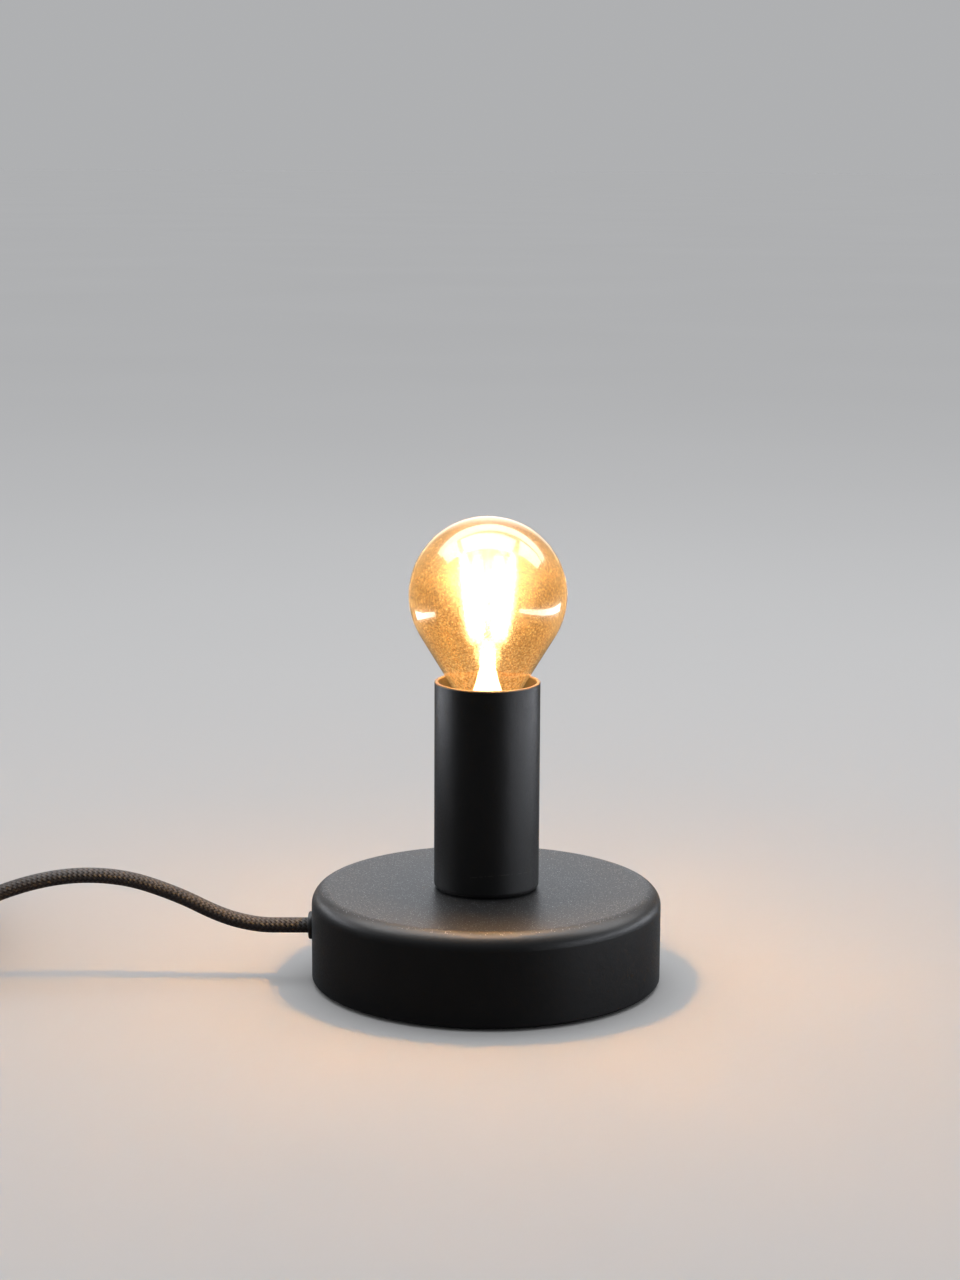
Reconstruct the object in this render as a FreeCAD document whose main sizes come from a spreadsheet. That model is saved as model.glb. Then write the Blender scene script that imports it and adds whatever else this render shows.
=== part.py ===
"""A small table lamp: a round weighted base, a straight sleeve, and a globe bulb that screws into the
holder inside the sleeve. Its textile cord carries a rocker switch and a flat two-pin plug.

Millimetres and degrees. +Z is up, and the origin is under the middle of the base, on the surface that the
lamp stands on. The cord leaves the base towards -X. Its unseen length is put away as a neat round coil.
"""
import FreeCAD, Part
import math
import os
import Sketcher

Vector = FreeCAD.Vector
Z_AXIS = Vector(0, 0, 1)

SIZES = [
    # base
    ("base_r", 50), ("base_top", 27), ("shell_wall", 1.5), ("shell_edge", 4.6), ("shell_lip", 0.5),
    ("shell_lift", 1.0), ("pad_thick", 2.0), ("pad_inset", 2.5), ("pad_bevel", 0.4),
    ("plate_thick", 1.2), ("plate_gap", 0.3), ("plate_screw_ring", 38), ("plate_screws", 3),
    ("plate_screw_r", 1.5), ("plate_screw_head_r", 2.9), ("plate_screw_length", 9), ("screw_gap", 0.1),
    ("weight_thick", 12.8), ("weight_gap", 0.9), ("weight_round", 1.5), ("hub_r", 22), ("hub_fillet", 3),
    ("hub_web", 7.1), ("chamber_r", 17), ("cast_bevel", 1.0), ("cut_over", 0.5),
    # cord, where it comes into the base
    ("cord_r", 2.2), ("exit_height", 15.2), ("cord_gap", 0.3), ("bush_flange_r", 4.0), ("bush_proud", 1.0),
    ("bush_round", 0.6), ("bush_neck_r", 3.1), ("bush_barb", 0.8), ("bush_nose", 1.76), ("bush_taper", 0.3),
    ("bush_gap", 0.1), ("barb_gap", 0.25), ("barb_room", 1.2), ("barb_pocket", 2.4), ("tail_end", 15.5),
    ("clamp_at", 30), ("clamp_long", 20), ("clamp_wide", 7), ("clamp_thick", 3.4), ("clamp_bevel", 1.2),
    ("clamp_arch", 1.0), ("clamp_screw_at", 7), ("clamp_screw_r", 1.4), ("clamp_head_r", 2.7),
    ("clamp_head_thick", 1.8), ("clamp_screw_deep", 7), ("tap_spare", 1),
    # threaded nipple that holds the stack together
    ("nipple_r", 5.0), ("nipple_bore", 3.75), ("nipple_gap", 0.2), ("nipple_below", 4.8),
    ("nipple_above", 4.2), ("nipple_bevel", 0.5), ("washer_thick", 0.8), ("washer_r", 9.0),
    ("washer_teeth", 10), ("notch_deep", 1.6), ("notch_wide", 2.8), ("notch_root", 1.0),
    ("nut_flats", 14), ("nut_thick", 3.2), ("nut_bevel", 0.9), ("thread_gap", 0.05),
    # sleeve
    ("sleeve_r", 15), ("sleeve_wall", 1.0), ("sleeve_height", 60), ("sleeve_floor", 1.2),
    ("sleeve_corner", 1.6), ("rim_round", 0.3),
    # lamp holder
    ("holder_r", 13), ("holder_wall", 1.5), ("holder_foot", 2.0), ("holder_gap", 0.15),
    ("cap_height", 11.8), ("cap_rim", 4.0), ("cap_floor", 2.5), ("cap_wall", 2.2), ("cap_boss_r", 7.6),
    ("lip_step", 1.05), ("block_flange", 2.0), ("block_plug", 4.0), ("block_post", 7.0),
    ("block_post_r", 9.2), ("skirt_top", 26.5), ("skirt_bore", 7.8), ("skirt_mouth", 8.9),
    ("skirt_mouth_deep", 5.6), ("skirt_round", 1.0), ("skirt_lead", 0.8), ("tube_gap", 1.0),
    ("tube_wall", 1.4), ("mouth_bevel", 0.7), ("mouth_rise", 1.5), ("mouth_step", 1.1),
    ("screw_shell_r", 7.1), ("screw_shell_wall", 0.4), ("screw_shell_long", 20.3),
    ("screw_shell_hole", 4.6), ("contact_rise", 2.9), ("contact_gap", 0.1), ("strip_wide", 4.0),
    ("strip_thick", 0.6), ("strip_bend", 0.9), ("strip_root", 1.0), ("strip_clear", 0.4),
    ("terminal_at", 6.0), ("terminal_wide", 5.0), ("terminal_deep", 6.0), ("terminal_drop", 8.0),
    ("terminal_rise", 0.4), ("terminal_screw_r", 1.2), ("terminal_screw_long", 5.0),
    ("terminal_screw_drop", 2.0), ("terminal_head_r", 1.9), ("terminal_head_thick", 1.6),
    ("wire_r", 0.9), ("wire_apart", 1.1),
    # bulb
    ("bulb_length", 77.85), ("globe_r", 22.25), ("glass_wall", 0.8), ("cone_angle", 31.3),
    ("neck_r", 7.6), ("neck_bend", 8.0), ("bulb_cap_r", 6.95), ("bulb_cap_wall", 0.3), ("cap_curl", 0.25),
    ("bulb_cap_flare", 8.5), ("bulb_cap_long", 25), ("bulb_cap_lift", 4.6), ("thread_top", 18.5),
    ("flare_rise", 2.0), ("neck_seat", 4.0), ("cement_drop", 2.1), ("cement_joint", 0.04), ("tip_r", 2.4),
    ("tip_thick", 1.5), ("insulator_thick", 3.7), ("insulator_gap", 0.35), ("insulator_lip", 0.3),
    ("insulator_rim", 1.1), ("insulator_edge", 0.8), ("stem_r", 2.2), ("stem_top", 13.0),
    ("stem_gap", 0.1), ("stem_lift", 0.2), ("stem_wall", 0.8), ("stem_web", 1.2), ("stem_press", 9.5),
    ("stem_press_r", 3.4), ("stem_taper", 4.5), ("filaments", 6), ("filament_r", 0.9),
    ("filament_long", 26.0), ("filament_foot_r", 4.2), ("filament_drop", 13.6), ("filament_lean", 6.2),
    ("lead_r", 0.35), ("lead_gap", 0.15), ("board_wide", 10.5), ("board_tall", 13), ("board_thick", 1.0),
    ("board_gap", 0.3), ("chip_wide", 4.8), ("chip_tall", 4.0), ("chip_thick", 1.7), ("chip_rise", 0.6),
    ("can_r", 2.2), ("can_tall", 7.15),
    # rocker switch on the cord
    ("switch_x", -228.5), ("switch_y", 11), ("switch_long", 56), ("switch_wide", 24), ("switch_high", 17),
    ("switch_split", 8), ("switch_corner", 8), ("switch_wall", 1.8), ("switch_floor", 2.0),
    ("switch_top_round", 2.4), ("switch_foot_round", 1.2), ("pivot_height", 14.4), ("rocker_r", 10.1),
    ("rocker_wide", 10), ("rocker_top", 3.2), ("rocker_under", 2.6), ("rocker_angle", 11),
    ("rocker_dish", 0.88), ("rocker_slot_gap", 0.3), ("nub_wide", 4.8), ("nub_tip", 3.2),
    ("nub_high", 1.4), ("pivot_r", 1.2), ("pivot_gap", 0.08), ("pivot_long", 14.4),
    ("pivot_end_gap", 0.2), ("ear_at", 5.5), ("ear_thick", 2.0), ("ear_half", 2.6), ("boss_x", 20.5),
    ("boss_y", 7), ("boss_r", 2.9), ("case_screw_r", 1.0), ("case_core_r", 0.9), ("case_head_r", 2.0),
    ("case_head_thick", 1.4), ("case_head_sink", 0.2), ("case_screw_bite", 4.6),
    ("case_screw_point", 0.6), ("bridge_at", 6.5), ("bridge_back", 2.4), ("bridge_front", 2.2),
    ("bridge_thick", 0.6), ("dome_r", 0.9), ("dome_high", 0.7), ("dome_flat_r", 0.54),
    ("dome_edge", 0.28), ("dome_gap", 0.12), ("pole_apart", 2.9), ("pole_wide", 2.8),
    ("pole_strip", 0.6), ("table_back", 1.6), ("table_front", 2.6), ("pole_screw_at", 14.5),
    ("pole_block", 5.0), ("pole_block_high", 4.5), ("pole_overlap", 0.2), ("pole_screw_r", 1.2),
    ("pole_screw_lift", 1.0), ("pole_head_r", 2.1), ("pole_head_thick", 1.5), ("pole_head_bevel", 0.6),
    ("saddle_at", 24.9), ("saddle_wide", 2.2), ("saddle_half", 5.4), ("saddle_leg", 2.4),
    ("saddle_thick", 1.6), ("stub_end", 22),
    # two-pin plug
    ("plug_x", -162.6), ("plug_y", 3), ("plug_z", 26.1), ("plug_wide", 35.3), ("plug_thick", 13.7),
    ("plug_corner", 4.0), ("plug_long", 32), ("plug_straight", 11), ("plug_waist_at", 22.55),
    ("plug_waist_wide", 23.3), ("plug_waist_thick", 13.15), ("plug_tail_wide", 13),
    ("plug_tail_thick", 11), ("plug_tail_corner", 3.6), ("pin_r", 2.0), ("pin_long", 19),
    ("pin_bare", 9), ("pin_apart", 18.6), ("pin_core", 1.5), ("pin_sleeve_r", 1.8),
    ("pin_sleeve_deep", 2), ("pin_deep", 8), ("pin_fit", 0.05), ("relief_long", 22), ("relief_r", 4.8),
    ("relief_end_r", 3.3), ("relief_ribs", 5), ("relief_groove", 0.8), ("rib_land", 2.0),
    ("rib_lean", 0.65), ("groove_long", 1.1),
    # coil of the put-away length
    ("coil_x", -181.5), ("coil_y", 40.5), ("coil_z", 2.25), ("coil_r", 28.9), ("coil_pitch", 4.85),
    ("coil_layers", 4), ("coil_quarters", 7), ("coil_lead", 5),
]

# The points that the cord passes between its pieces, chosen by hand: from the base to the switch, from the
# switch to the coil, and from the coil's top to the plug. Each route's two ends lie on those pieces.
LAMP_TO_SWITCH = [
    (-58.5, 0.0, 15.2), (-68.5, 0.2, 15.5), (-84.0, 0.6, 22.0), (-104.0, 0.0, 29.6), (-125.0, -2.2, 29.9),
    (-147.0, -8.0, 23.4), (-164.5, -20.2, 10.6), (-179.3, -33.0, 2.3), (-191.5, -44.0, 2.25),
    (-202.9, -47.5, 2.4), (-214.7, -45.3, 3.6), (-223.8, -38.2, 6.0), (-228.5, -27.9, 8.0),
]
SWITCH_TO_COIL = [
    (-228.5, 48.6, 8.0), (-225.0, 58.0, 6.5), (-218.3, 65.3, 4.3), (-209.1, 69.2, 2.6), (-197.6, 69.4, 2.25),
]
COIL_TO_PLUG = [
    (-211.6125, 56.2, 21.65), (-211.4, 67.0, 21.2), (-207.6, 76.2, 20.7), (-200.7, 83.0, 20.5),
    (-191.7, 86.5, 20.8), (-182.1, 86.4, 21.6), (-173.1, 82.8, 23.2), (-166.3, 76.0, 25.1),
    (-162.6, 66.9, 26.1),
]

doc = FreeCAD.newDocument("table_lamp")
sheet = doc.addObject("Spreadsheet::Sheet", "sizes")


class Size:
    """A size that knows its number and the sheet expression that it comes from."""

    def __init__(self, number, text):
        self.number = float(number)
        self.text = text

    @staticmethod
    def of(value):
        return value if isinstance(value, Size) else Size(value, "%.10g" % value)

    def join(self, other, sign, flipped=False):
        first, last = Size.of(self), Size.of(other)
        if flipped:
            first, last = last, first
        a, b = first.number, last.number
        number = {"+": a + b, "-": a - b, "*": a * b, "/": a / b if b else 0.0}[sign]
        return Size(number, "(%s %s %s)" % (first.text, sign, last.text))

    def __add__(self, other):
        return self.join(other, "+")

    def __radd__(self, other):
        return self.join(other, "+", True)

    def __sub__(self, other):
        return self.join(other, "-")

    def __rsub__(self, other):
        return self.join(other, "-", True)

    def __mul__(self, other):
        return self.join(other, "*")

    def __rmul__(self, other):
        return self.join(other, "*", True)

    def __truediv__(self, other):
        return self.join(other, "/")

    def __neg__(self):
        return Size(-self.number, "(-%s)" % self.text)


def sine(angle):
    return Size(math.sin(math.radians(angle.number)), "sin(%s)" % angle.text)


def cosine(angle):
    return Size(math.cos(math.radians(angle.number)), "cos(%s)" % angle.text)


def tangent(angle):
    return Size(math.tan(math.radians(angle.number)), "tan(%s)" % angle.text)


def root(value):
    return Size(math.sqrt(value.number), "sqrt(%s)" % value.text)


class Sizes:
    """The sheet's sizes by name."""

    def __init__(self, rows):
        for row, (name, value) in enumerate(rows, 1):
            sheet.set("A%d" % row, name)
            sheet.set("B%d" % row, str(value))
            sheet.setAlias("B%d" % row, name)
        doc.recompute()
        for name, value in rows:
            setattr(self, name, Size(getattr(sheet, name), "sizes." + name))


S = Sizes(SIZES)


def number(value):
    return Size.of(value).number


def bind(thing, path, value):
    if isinstance(value, Size):
        thing.setExpression(path, value.text)


def arc_between(start, end, radius):
    """The arc's circle and angles, counter-clockwise; a negative radius turns clockwise."""
    chord = end - start
    half = chord.Length / 2
    rise = math.sqrt(max(radius * radius - half * half, 0.0))
    side = Vector(-chord.y, chord.x, 0).normalize() * (rise if radius > 0 else -rise)
    centre = (start + end) * 0.5 + side
    angles = [math.atan2(p.y - centre.y, p.x - centre.x) for p in (start, end)]
    if radius < 0:
        angles.reverse()
    if angles[1] < angles[0]:
        angles[1] += 2 * math.pi
    return Part.ArcOfCircle(Part.Circle(centre, Z_AXIS, abs(radius)), angles[0], angles[1])


def draw_outline(sketch, corners):
    """A closed outline. A corner is (x, y), or (x, y, radius) when an arc leads to it."""
    count = len(corners)
    points = [Vector(number(c[0]), number(c[1]), 0) for c in corners]
    first = sketch.GeometryCount
    ends = []
    for i in range(count):
        start, end = points[i], points[(i + 1) % count]
        after = corners[(i + 1) % count]
        if len(after) == 3:
            sketch.addGeometry(arc_between(start, end, number(after[2])), False)
            ends.append((2, 1) if number(after[2]) < 0 else (1, 2))
        else:
            sketch.addGeometry(Part.LineSegment(start, end), False)
            ends.append((1, 2))
    for i in range(count):
        nxt = (i + 1) % count
        sketch.addConstraint(
            Sketcher.Constraint("Coincident", first + i, ends[i][1], first + nxt, ends[nxt][0]))
    for i, corner in enumerate(corners):
        at = (first + i, ends[i][0])
        place(sketch, at, corner[0], corner[1])
        if len(corner) == 3:
            arc = first + (i - 1) % count
            radius = corner[2]
            flip = -1 if number(radius) < 0 else 1
            index = sketch.addConstraint(Sketcher.Constraint("Radius", arc, abs(number(radius))))
            if isinstance(radius, Size):
                bind(sketch, "Constraints[%d]" % index, radius if flip > 0 else -radius)


def place(sketch, at, x, y):
    """Ties a sketch point to the sketch's origin."""
    for kind, axis, value in (("DistanceX", -2, x), ("DistanceY", -1, y)):
        if not isinstance(value, Size) and value == 0:
            sketch.addConstraint(Sketcher.Constraint("PointOnObject", at[0], at[1], axis))
        else:
            index = sketch.addConstraint(Sketcher.Constraint(kind, -1, 1, at[0], at[1], number(value)))
            bind(sketch, "Constraints[%d]" % index, value)


def draw_circle(sketch, x, y, radius):
    centre = Vector(number(x), number(y), 0)
    index = sketch.addGeometry(Part.Circle(centre, Z_AXIS, number(radius)), False)
    place(sketch, (index, 3), x, y)
    at = sketch.addConstraint(Sketcher.Constraint("Radius", index, number(radius)))
    bind(sketch, "Constraints[%d]" % at, radius)


def rounded(half_x, half_y, corner):
    """A rectangle's outline with round corners, about the origin."""
    near_x, near_y = half_x - corner, half_y - corner
    return [
        (half_x, -near_y, corner), (half_x, near_y), (near_x, half_y, corner), (-near_x, half_y),
        (-half_x, near_y, corner), (-half_x, -near_y), (-near_x, -half_y, corner), (near_x, -half_y),
    ]


def box(x0, y0, x1, y1):
    return [(x0, y0), (x1, y0), (x1, y1), (x0, y1)]


pieces = []


class Piece:
    """One sub-part: a body with its sketches and features, in its own named node."""

    def __init__(self, label, base=None, turned=0):
        self.body = doc.addObject("PartDesign::Body", label)
        self.body.Label = label
        self.body.AllowCompound = True
        if turned:
            self.body.Placement = FreeCAD.Placement(Vector(), FreeCAD.Rotation(Z_AXIS, turned))
        for axis, value in zip("xyz", base or ()):
            bind(self.body, "Placement.Base." + axis, value)
        pieces.append(self.body)

    def origin(self, role):
        return [f for f in self.body.Origin.OriginFeatures if f.Role == role][0]

    def sketch(self, plane, outlines=(), circles=(), shift=(0, 0, 0), tilt=None):
        sketch = self.body.newObject("Sketcher::SketchObject", self.body.Name + "_sketch")
        sketch.AttachmentSupport = (self.origin(plane), [""])
        sketch.MapMode = "FlatFace"
        spin = FreeCAD.Rotation(Z_AXIS, number(tilt)) if tilt is not None else FreeCAD.Rotation()
        sketch.AttachmentOffset = FreeCAD.Placement(Vector(*[number(v) for v in shift]), spin)
        for axis, value in zip("xyz", shift):
            bind(sketch, "AttachmentOffset.Base." + axis, value)
        if tilt is not None:
            bind(sketch, "AttachmentOffset.Rotation.Angle", tilt)
        for outline in outlines:
            draw_outline(sketch, outline)
        for circle in circles:
            draw_circle(sketch, *circle)
        return sketch

    def feature(self, kind, sketch, cut=False, **settings):
        before = self.body.Shape.Volume if cut else 0.0
        made = self.body.newObject("PartDesign::" + kind, "%s_%s" % (self.body.Name, kind.lower()))
        made.Profile = sketch
        for name, value in settings.items():
            if isinstance(value, Size):
                setattr(made, name, value.number)
                bind(made, name, value)
            else:
                setattr(made, name, value)
        doc.recompute()
        if cut and not self.body.Shape.Volume < before - 1e-6:
            raise RuntimeError("%s: a cut removes nothing" % made.Name)
        return made

    def turn(self, outline, plane="XZ_Plane", axis="V_Axis", cut=False, **where):
        sketch = self.sketch(plane, [outline], **where)
        kind = "Groove" if cut else "Revolution"
        return self.feature(kind, sketch, cut, ReferenceAxis=(sketch, [axis]), Angle=360.0)

    def pad(self, length, plane="XY_Plane", outlines=(), circles=(), both=False, back=False, **where):
        sketch = self.sketch(plane, outlines, circles, **where)
        return self.feature("Pad", sketch, Length=length, Midplane=both, Reversed=back)

    def pocket(self, length, plane="XY_Plane", outlines=(), circles=(), both=False, back=False, **where):
        sketch = self.sketch(plane, outlines, circles, **where)
        return self.feature("Pocket", sketch, True, Length=length, Midplane=both, Reversed=back)

    def ring(self, features, count, axis="Z_Axis"):
        pattern = self.body.newObject("PartDesign::PolarPattern", self.body.Name + "_ring")
        pattern.Originals = list(features)
        pattern.Axis = (self.origin(axis), [""])
        pattern.Angle = 360.0
        pattern.Occurrences = int(number(count))
        bind(pattern, "Occurrences", count)
        self.body.Tip = pattern
        doc.recompute()
        return pattern

    def mirror(self, features, plane):
        mirrored = self.body.newObject("PartDesign::Mirrored", self.body.Name + "_mirror")
        mirrored.Originals = list(features)
        mirrored.MirrorPlane = (self.origin(plane), [""])
        self.body.Tip = mirrored
        doc.recompute()
        return mirrored

    def round_edges(self, feature, radius, wanted):
        """Rounds the edges that the test wants, given each edge's bounding box."""
        names = ["Edge%d" % (i + 1) for i, e in enumerate(feature.Shape.Edges) if wanted(e.BoundBox)]
        fillet = self.body.newObject("PartDesign::Fillet", self.body.Name + "_fillet")
        fillet.Base = (feature, names)
        fillet.Radius = number(radius)
        bind(fillet, "Radius", radius)
        doc.recompute()
        return fillet


def keep_shape(label, shape):
    """A sub-part whose shape no feature gives: a wire, a cord or a coil."""
    made = doc.addObject("Part::Feature", label)
    made.Label = label
    made.Shape = shape
    pieces.append(made)
    return made


# Heights of the stack, from the surface up.
plate_low = S.pad_thick
weight_low = plate_low + S.plate_thick
weight_top = weight_low + S.weight_thick
roof_under = S.base_top - S.shell_wall
web_low = roof_under - S.hub_web
washer_low = web_low - S.washer_thick
nut_low = washer_low - S.nut_thick
sleeve_seat = S.base_top + S.sleeve_floor
sleeve_rim = S.base_top + S.sleeve_height
cap_shoulder = sleeve_seat + S.cap_height
block_seat = cap_shoulder + S.cap_rim
block_post_low = block_seat + S.block_flange
block_top = block_post_low + S.block_post
skirt_high = block_top + S.skirt_top
tip_height = block_top + S.contact_rise + S.contact_gap
bulb_top = tip_height + S.bulb_length
globe_centre = bulb_top - S.globe_r
cap_high = tip_height + S.bulb_cap_long
neck_low = cap_high - S.neck_seat
shell_inner = S.base_r - S.shell_wall
nipple_hole = S.nipple_r + S.nipple_gap
cap_bore = S.holder_r - S.cap_wall
lip = S.holder_r - S.lip_step
terminal_top = block_seat + S.terminal_rise


def build_base():
    shell = Piece("base_shell")
    shell.turn([
        (shell_inner, S.shell_lift), (S.base_r - S.shell_lip, S.shell_lift),
        (S.base_r, S.shell_lift + S.shell_lip, S.shell_lip), (S.base_r, S.base_top - S.shell_edge),
        (S.base_r - S.shell_edge, S.base_top, S.shell_edge), (nipple_hole, S.base_top),
        (nipple_hole, roof_under), (S.base_r - S.shell_edge, roof_under),
        (shell_inner, S.base_top - S.shell_edge, -(S.shell_edge - S.shell_wall)),
    ])
    shell.pocket(S.base_r + S.cut_over, "YZ_Plane", circles=[(0, S.exit_height, S.bush_neck_r + S.bush_gap)])

    weight = Piece("base_weight")
    weight_r = shell_inner - S.weight_gap
    weight.turn([
        (S.chamber_r, weight_low), (weight_r, weight_low), (weight_r, weight_top - S.weight_round),
        (weight_r - S.weight_round, weight_top, S.weight_round), (S.hub_r + S.hub_fillet, weight_top),
        (S.hub_r, weight_top + S.hub_fillet, -S.hub_fillet), (S.hub_r, roof_under - S.cast_bevel),
        (S.hub_r - S.cast_bevel, roof_under), (nipple_hole, roof_under), (nipple_hole, web_low),
        (S.chamber_r - S.cast_bevel, web_low), (S.chamber_r, web_low - S.cast_bevel),
    ])
    groove = S.cord_r + S.cord_gap
    weight.pocket(S.base_r, "YZ_Plane", outlines=[[
        (-groove, S.exit_height), (0, S.exit_height - groove, groove), (groove, S.exit_height, groove),
        (groove, S.exit_height + groove), (-groove, S.exit_height + groove)]])
    barb_room = S.bush_neck_r + S.bush_barb + S.barb_room
    barb_end = shell_inner - S.barb_pocket
    weight.pocket(S.base_r - barb_end, "YZ_Plane", shift=(0, 0, -barb_end), outlines=[
        box(-barb_room, S.exit_height - barb_room, barb_room, weight_top + S.cut_over)])
    hole = weight.pocket(S.plate_screw_length, shift=(0, 0, weight_low), back=True,
                         circles=[(S.plate_screw_ring, 0, S.plate_screw_r + S.screw_gap)])
    mouth_r = S.plate_screw_head_r - S.plate_thick + 2 * S.screw_gap
    mouth = weight.pocket(mouth_r - S.plate_screw_r, shift=(0, 0, weight_low), back=True,
                          circles=[(S.plate_screw_ring, 0, mouth_r)])
    weight.ring([hole, mouth], S.plate_screws)
    taps = [(-S.clamp_at, side * S.clamp_screw_at, S.clamp_screw_r + S.screw_gap) for side in (-1, 1)]
    weight.pocket(S.clamp_screw_deep + S.tap_spare, shift=(0, 0, weight_top), circles=taps)

    plate = Piece("bottom_plate")
    plate.pad(S.plate_thick, shift=(0, 0, plate_low), circles=[(0, 0, shell_inner - S.plate_gap)])
    sink_r = S.plate_screw_head_r + S.screw_gap
    sink = plate.turn([
        (0, plate_low), (sink_r, plate_low), (sink_r - S.plate_thick, weight_low), (0, weight_low)],
        cut=True, shift=(S.plate_screw_ring, 0, 0))
    plate.ring([sink], S.plate_screws)

    pad = Piece("foot_pad")
    pad_r = S.base_r - S.pad_inset
    pad.turn([
        (0, 0), (pad_r - S.pad_bevel, 0), (pad_r, S.pad_bevel), (pad_r, plate_low), (0, plate_low)])

    screws = Piece("plate_screws")
    head = S.plate_screw_head_r - S.plate_screw_r
    screw = screws.turn([
        (0, plate_low), (S.plate_screw_head_r, plate_low), (S.plate_screw_r, plate_low + head),
        (S.plate_screw_r, plate_low + S.plate_screw_length), (0, plate_low + S.plate_screw_length)],
        shift=(S.plate_screw_ring, 0, 0))
    screws.ring([screw], S.plate_screws)


def build_cord_entry():
    bore = S.cord_r + S.bush_gap
    bush = Piece("cord_grommet")
    face = S.base_r + S.bush_proud
    soft = S.bush_round
    barb = shell_inner - S.barb_gap
    nose = barb - S.bush_nose
    bush.turn([
        (-face, bore), (-nose, bore), (-nose, S.bush_neck_r - S.bush_taper),
        (-(barb - S.bush_barb), S.bush_neck_r + S.bush_barb), (-barb, S.bush_neck_r + S.bush_barb),
        (-barb, S.bush_neck_r), (-S.base_r, S.bush_neck_r), (-S.base_r, S.bush_flange_r),
        (-(face - soft), S.bush_flange_r), (-face, S.bush_flange_r - soft, soft)],
        axis="H_Axis", shift=(0, S.exit_height, 0))

    tail = Piece("cord_tail")
    tail.pad(S.base_r - S.tail_end, "YZ_Plane", shift=(0, 0, -S.base_r),
             circles=[(0, S.exit_height, S.cord_r)])

    clamp = Piece("cord_clamp")
    half, top = S.clamp_long / 2, weight_top + S.clamp_thick
    crown = S.exit_height + S.cord_r + S.thread_gap
    side = S.cord_r + S.bush_gap
    arch, bevel = S.clamp_arch, S.clamp_bevel
    clamp.pad(S.clamp_wide, "YZ_Plane", shift=(0, 0, -(S.clamp_at + S.clamp_wide / 2)), outlines=[[
        (-half, weight_top), (-side, weight_top), (-side, crown - arch), (-(side - arch), crown),
        (side - arch, crown), (side, crown - arch), (side, weight_top), (half, weight_top),
        (half, top - bevel), (half - bevel, top), (-(half - bevel), top), (-half, top - bevel)]])
    holes = [(-S.clamp_at, way * S.clamp_screw_at, S.clamp_screw_r + S.screw_gap) for way in (-1, 1)]
    clamp.pocket(S.clamp_thick + 2 * S.cut_over, shift=(0, 0, top + S.cut_over), circles=holes)

    screws = Piece("clamp_screws")
    screw = screws.turn([
        (0, weight_top - S.clamp_screw_deep), (S.clamp_screw_r, weight_top - S.clamp_screw_deep),
        (S.clamp_screw_r, top), (S.clamp_head_r, top), (S.clamp_head_r, top + S.clamp_head_thick / 2),
        (S.clamp_head_r - S.clamp_head_thick / 2, top + S.clamp_head_thick, S.clamp_head_thick / 2),
        (0, top + S.clamp_head_thick)], shift=(-S.clamp_at, 0, -S.clamp_screw_at))
    screws.mirror([screw], "XZ_Plane")


def build_nipple():
    low, high = web_low - S.nipple_below, sleeve_seat + S.nipple_above
    bevel = S.nipple_bevel
    nipple = Piece("threaded_nipple")
    nipple.turn([
        (S.nipple_bore, low), (S.nipple_r - bevel, low), (S.nipple_r, low + bevel),
        (S.nipple_r, high - bevel), (S.nipple_r - bevel, high), (S.nipple_bore, high)])

    washer = Piece("star_washer")
    above = {"shift": (0, 0, web_low + S.cut_over)}
    washer.pad(S.washer_thick, shift=(0, 0, washer_low), circles=[(0, 0, S.washer_r)])
    washer.pocket(S.washer_thick + 2 * S.cut_over, circles=[(0, 0, nipple_hole)], **above)
    notch_out, notch_in = S.washer_r + S.cut_over, S.washer_r - S.notch_deep
    mouth, root = S.notch_wide / 2, S.notch_root / 2
    notch = washer.pocket(S.washer_thick + 2 * S.cut_over, outlines=[[
        (notch_in, -root), (notch_out, -mouth), (notch_out, mouth), (notch_in, root)]], **above)
    washer.ring([notch], S.washer_teeth)

    nut = Piece("nipple_nut")
    across = S.nut_flats / math.sqrt(3)
    corners = [(across * math.cos(math.radians(60 * i)), across * math.sin(math.radians(60 * i)))
               for i in range(6)]
    nut.pad(S.nut_thick, shift=(0, 0, nut_low), outlines=[corners])
    nut.pocket(S.nut_thick + 2 * S.cut_over, shift=(0, 0, washer_low + S.cut_over),
               circles=[(0, 0, S.nipple_r + S.thread_gap)])
    nut.turn([
        (S.nut_flats / 2, nut_low - S.cut_over), (across + S.cut_over, nut_low - S.cut_over),
        (across + S.cut_over, nut_low + S.nut_bevel)], cut=True)


def build_sleeve():
    sleeve = Piece("lamp_sleeve")
    inner = S.sleeve_r - S.sleeve_wall
    bend = S.sleeve_corner
    sleeve.turn([
        (nipple_hole, S.base_top), (S.sleeve_r - bend, S.base_top),
        (S.sleeve_r, S.base_top + bend, bend), (S.sleeve_r, sleeve_rim - S.rim_round),
        (S.sleeve_r - S.rim_round, sleeve_rim, S.rim_round), (inner + S.rim_round, sleeve_rim),
        (inner, sleeve_rim - S.rim_round, S.rim_round), (inner, sleeve_seat + bend / 2),
        (inner - bend / 2, sleeve_seat, -bend / 2), (nipple_hole, sleeve_seat)])


def terminal_outline(side, inner_face):
    """Side view of a terminal's brass block, hanging in its pocket of the contact block."""
    half = S.terminal_wide / 2
    low = terminal_top - S.terminal_drop
    return box(side * S.terminal_at - half, low, side * S.terminal_at + half, inner_face)


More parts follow.
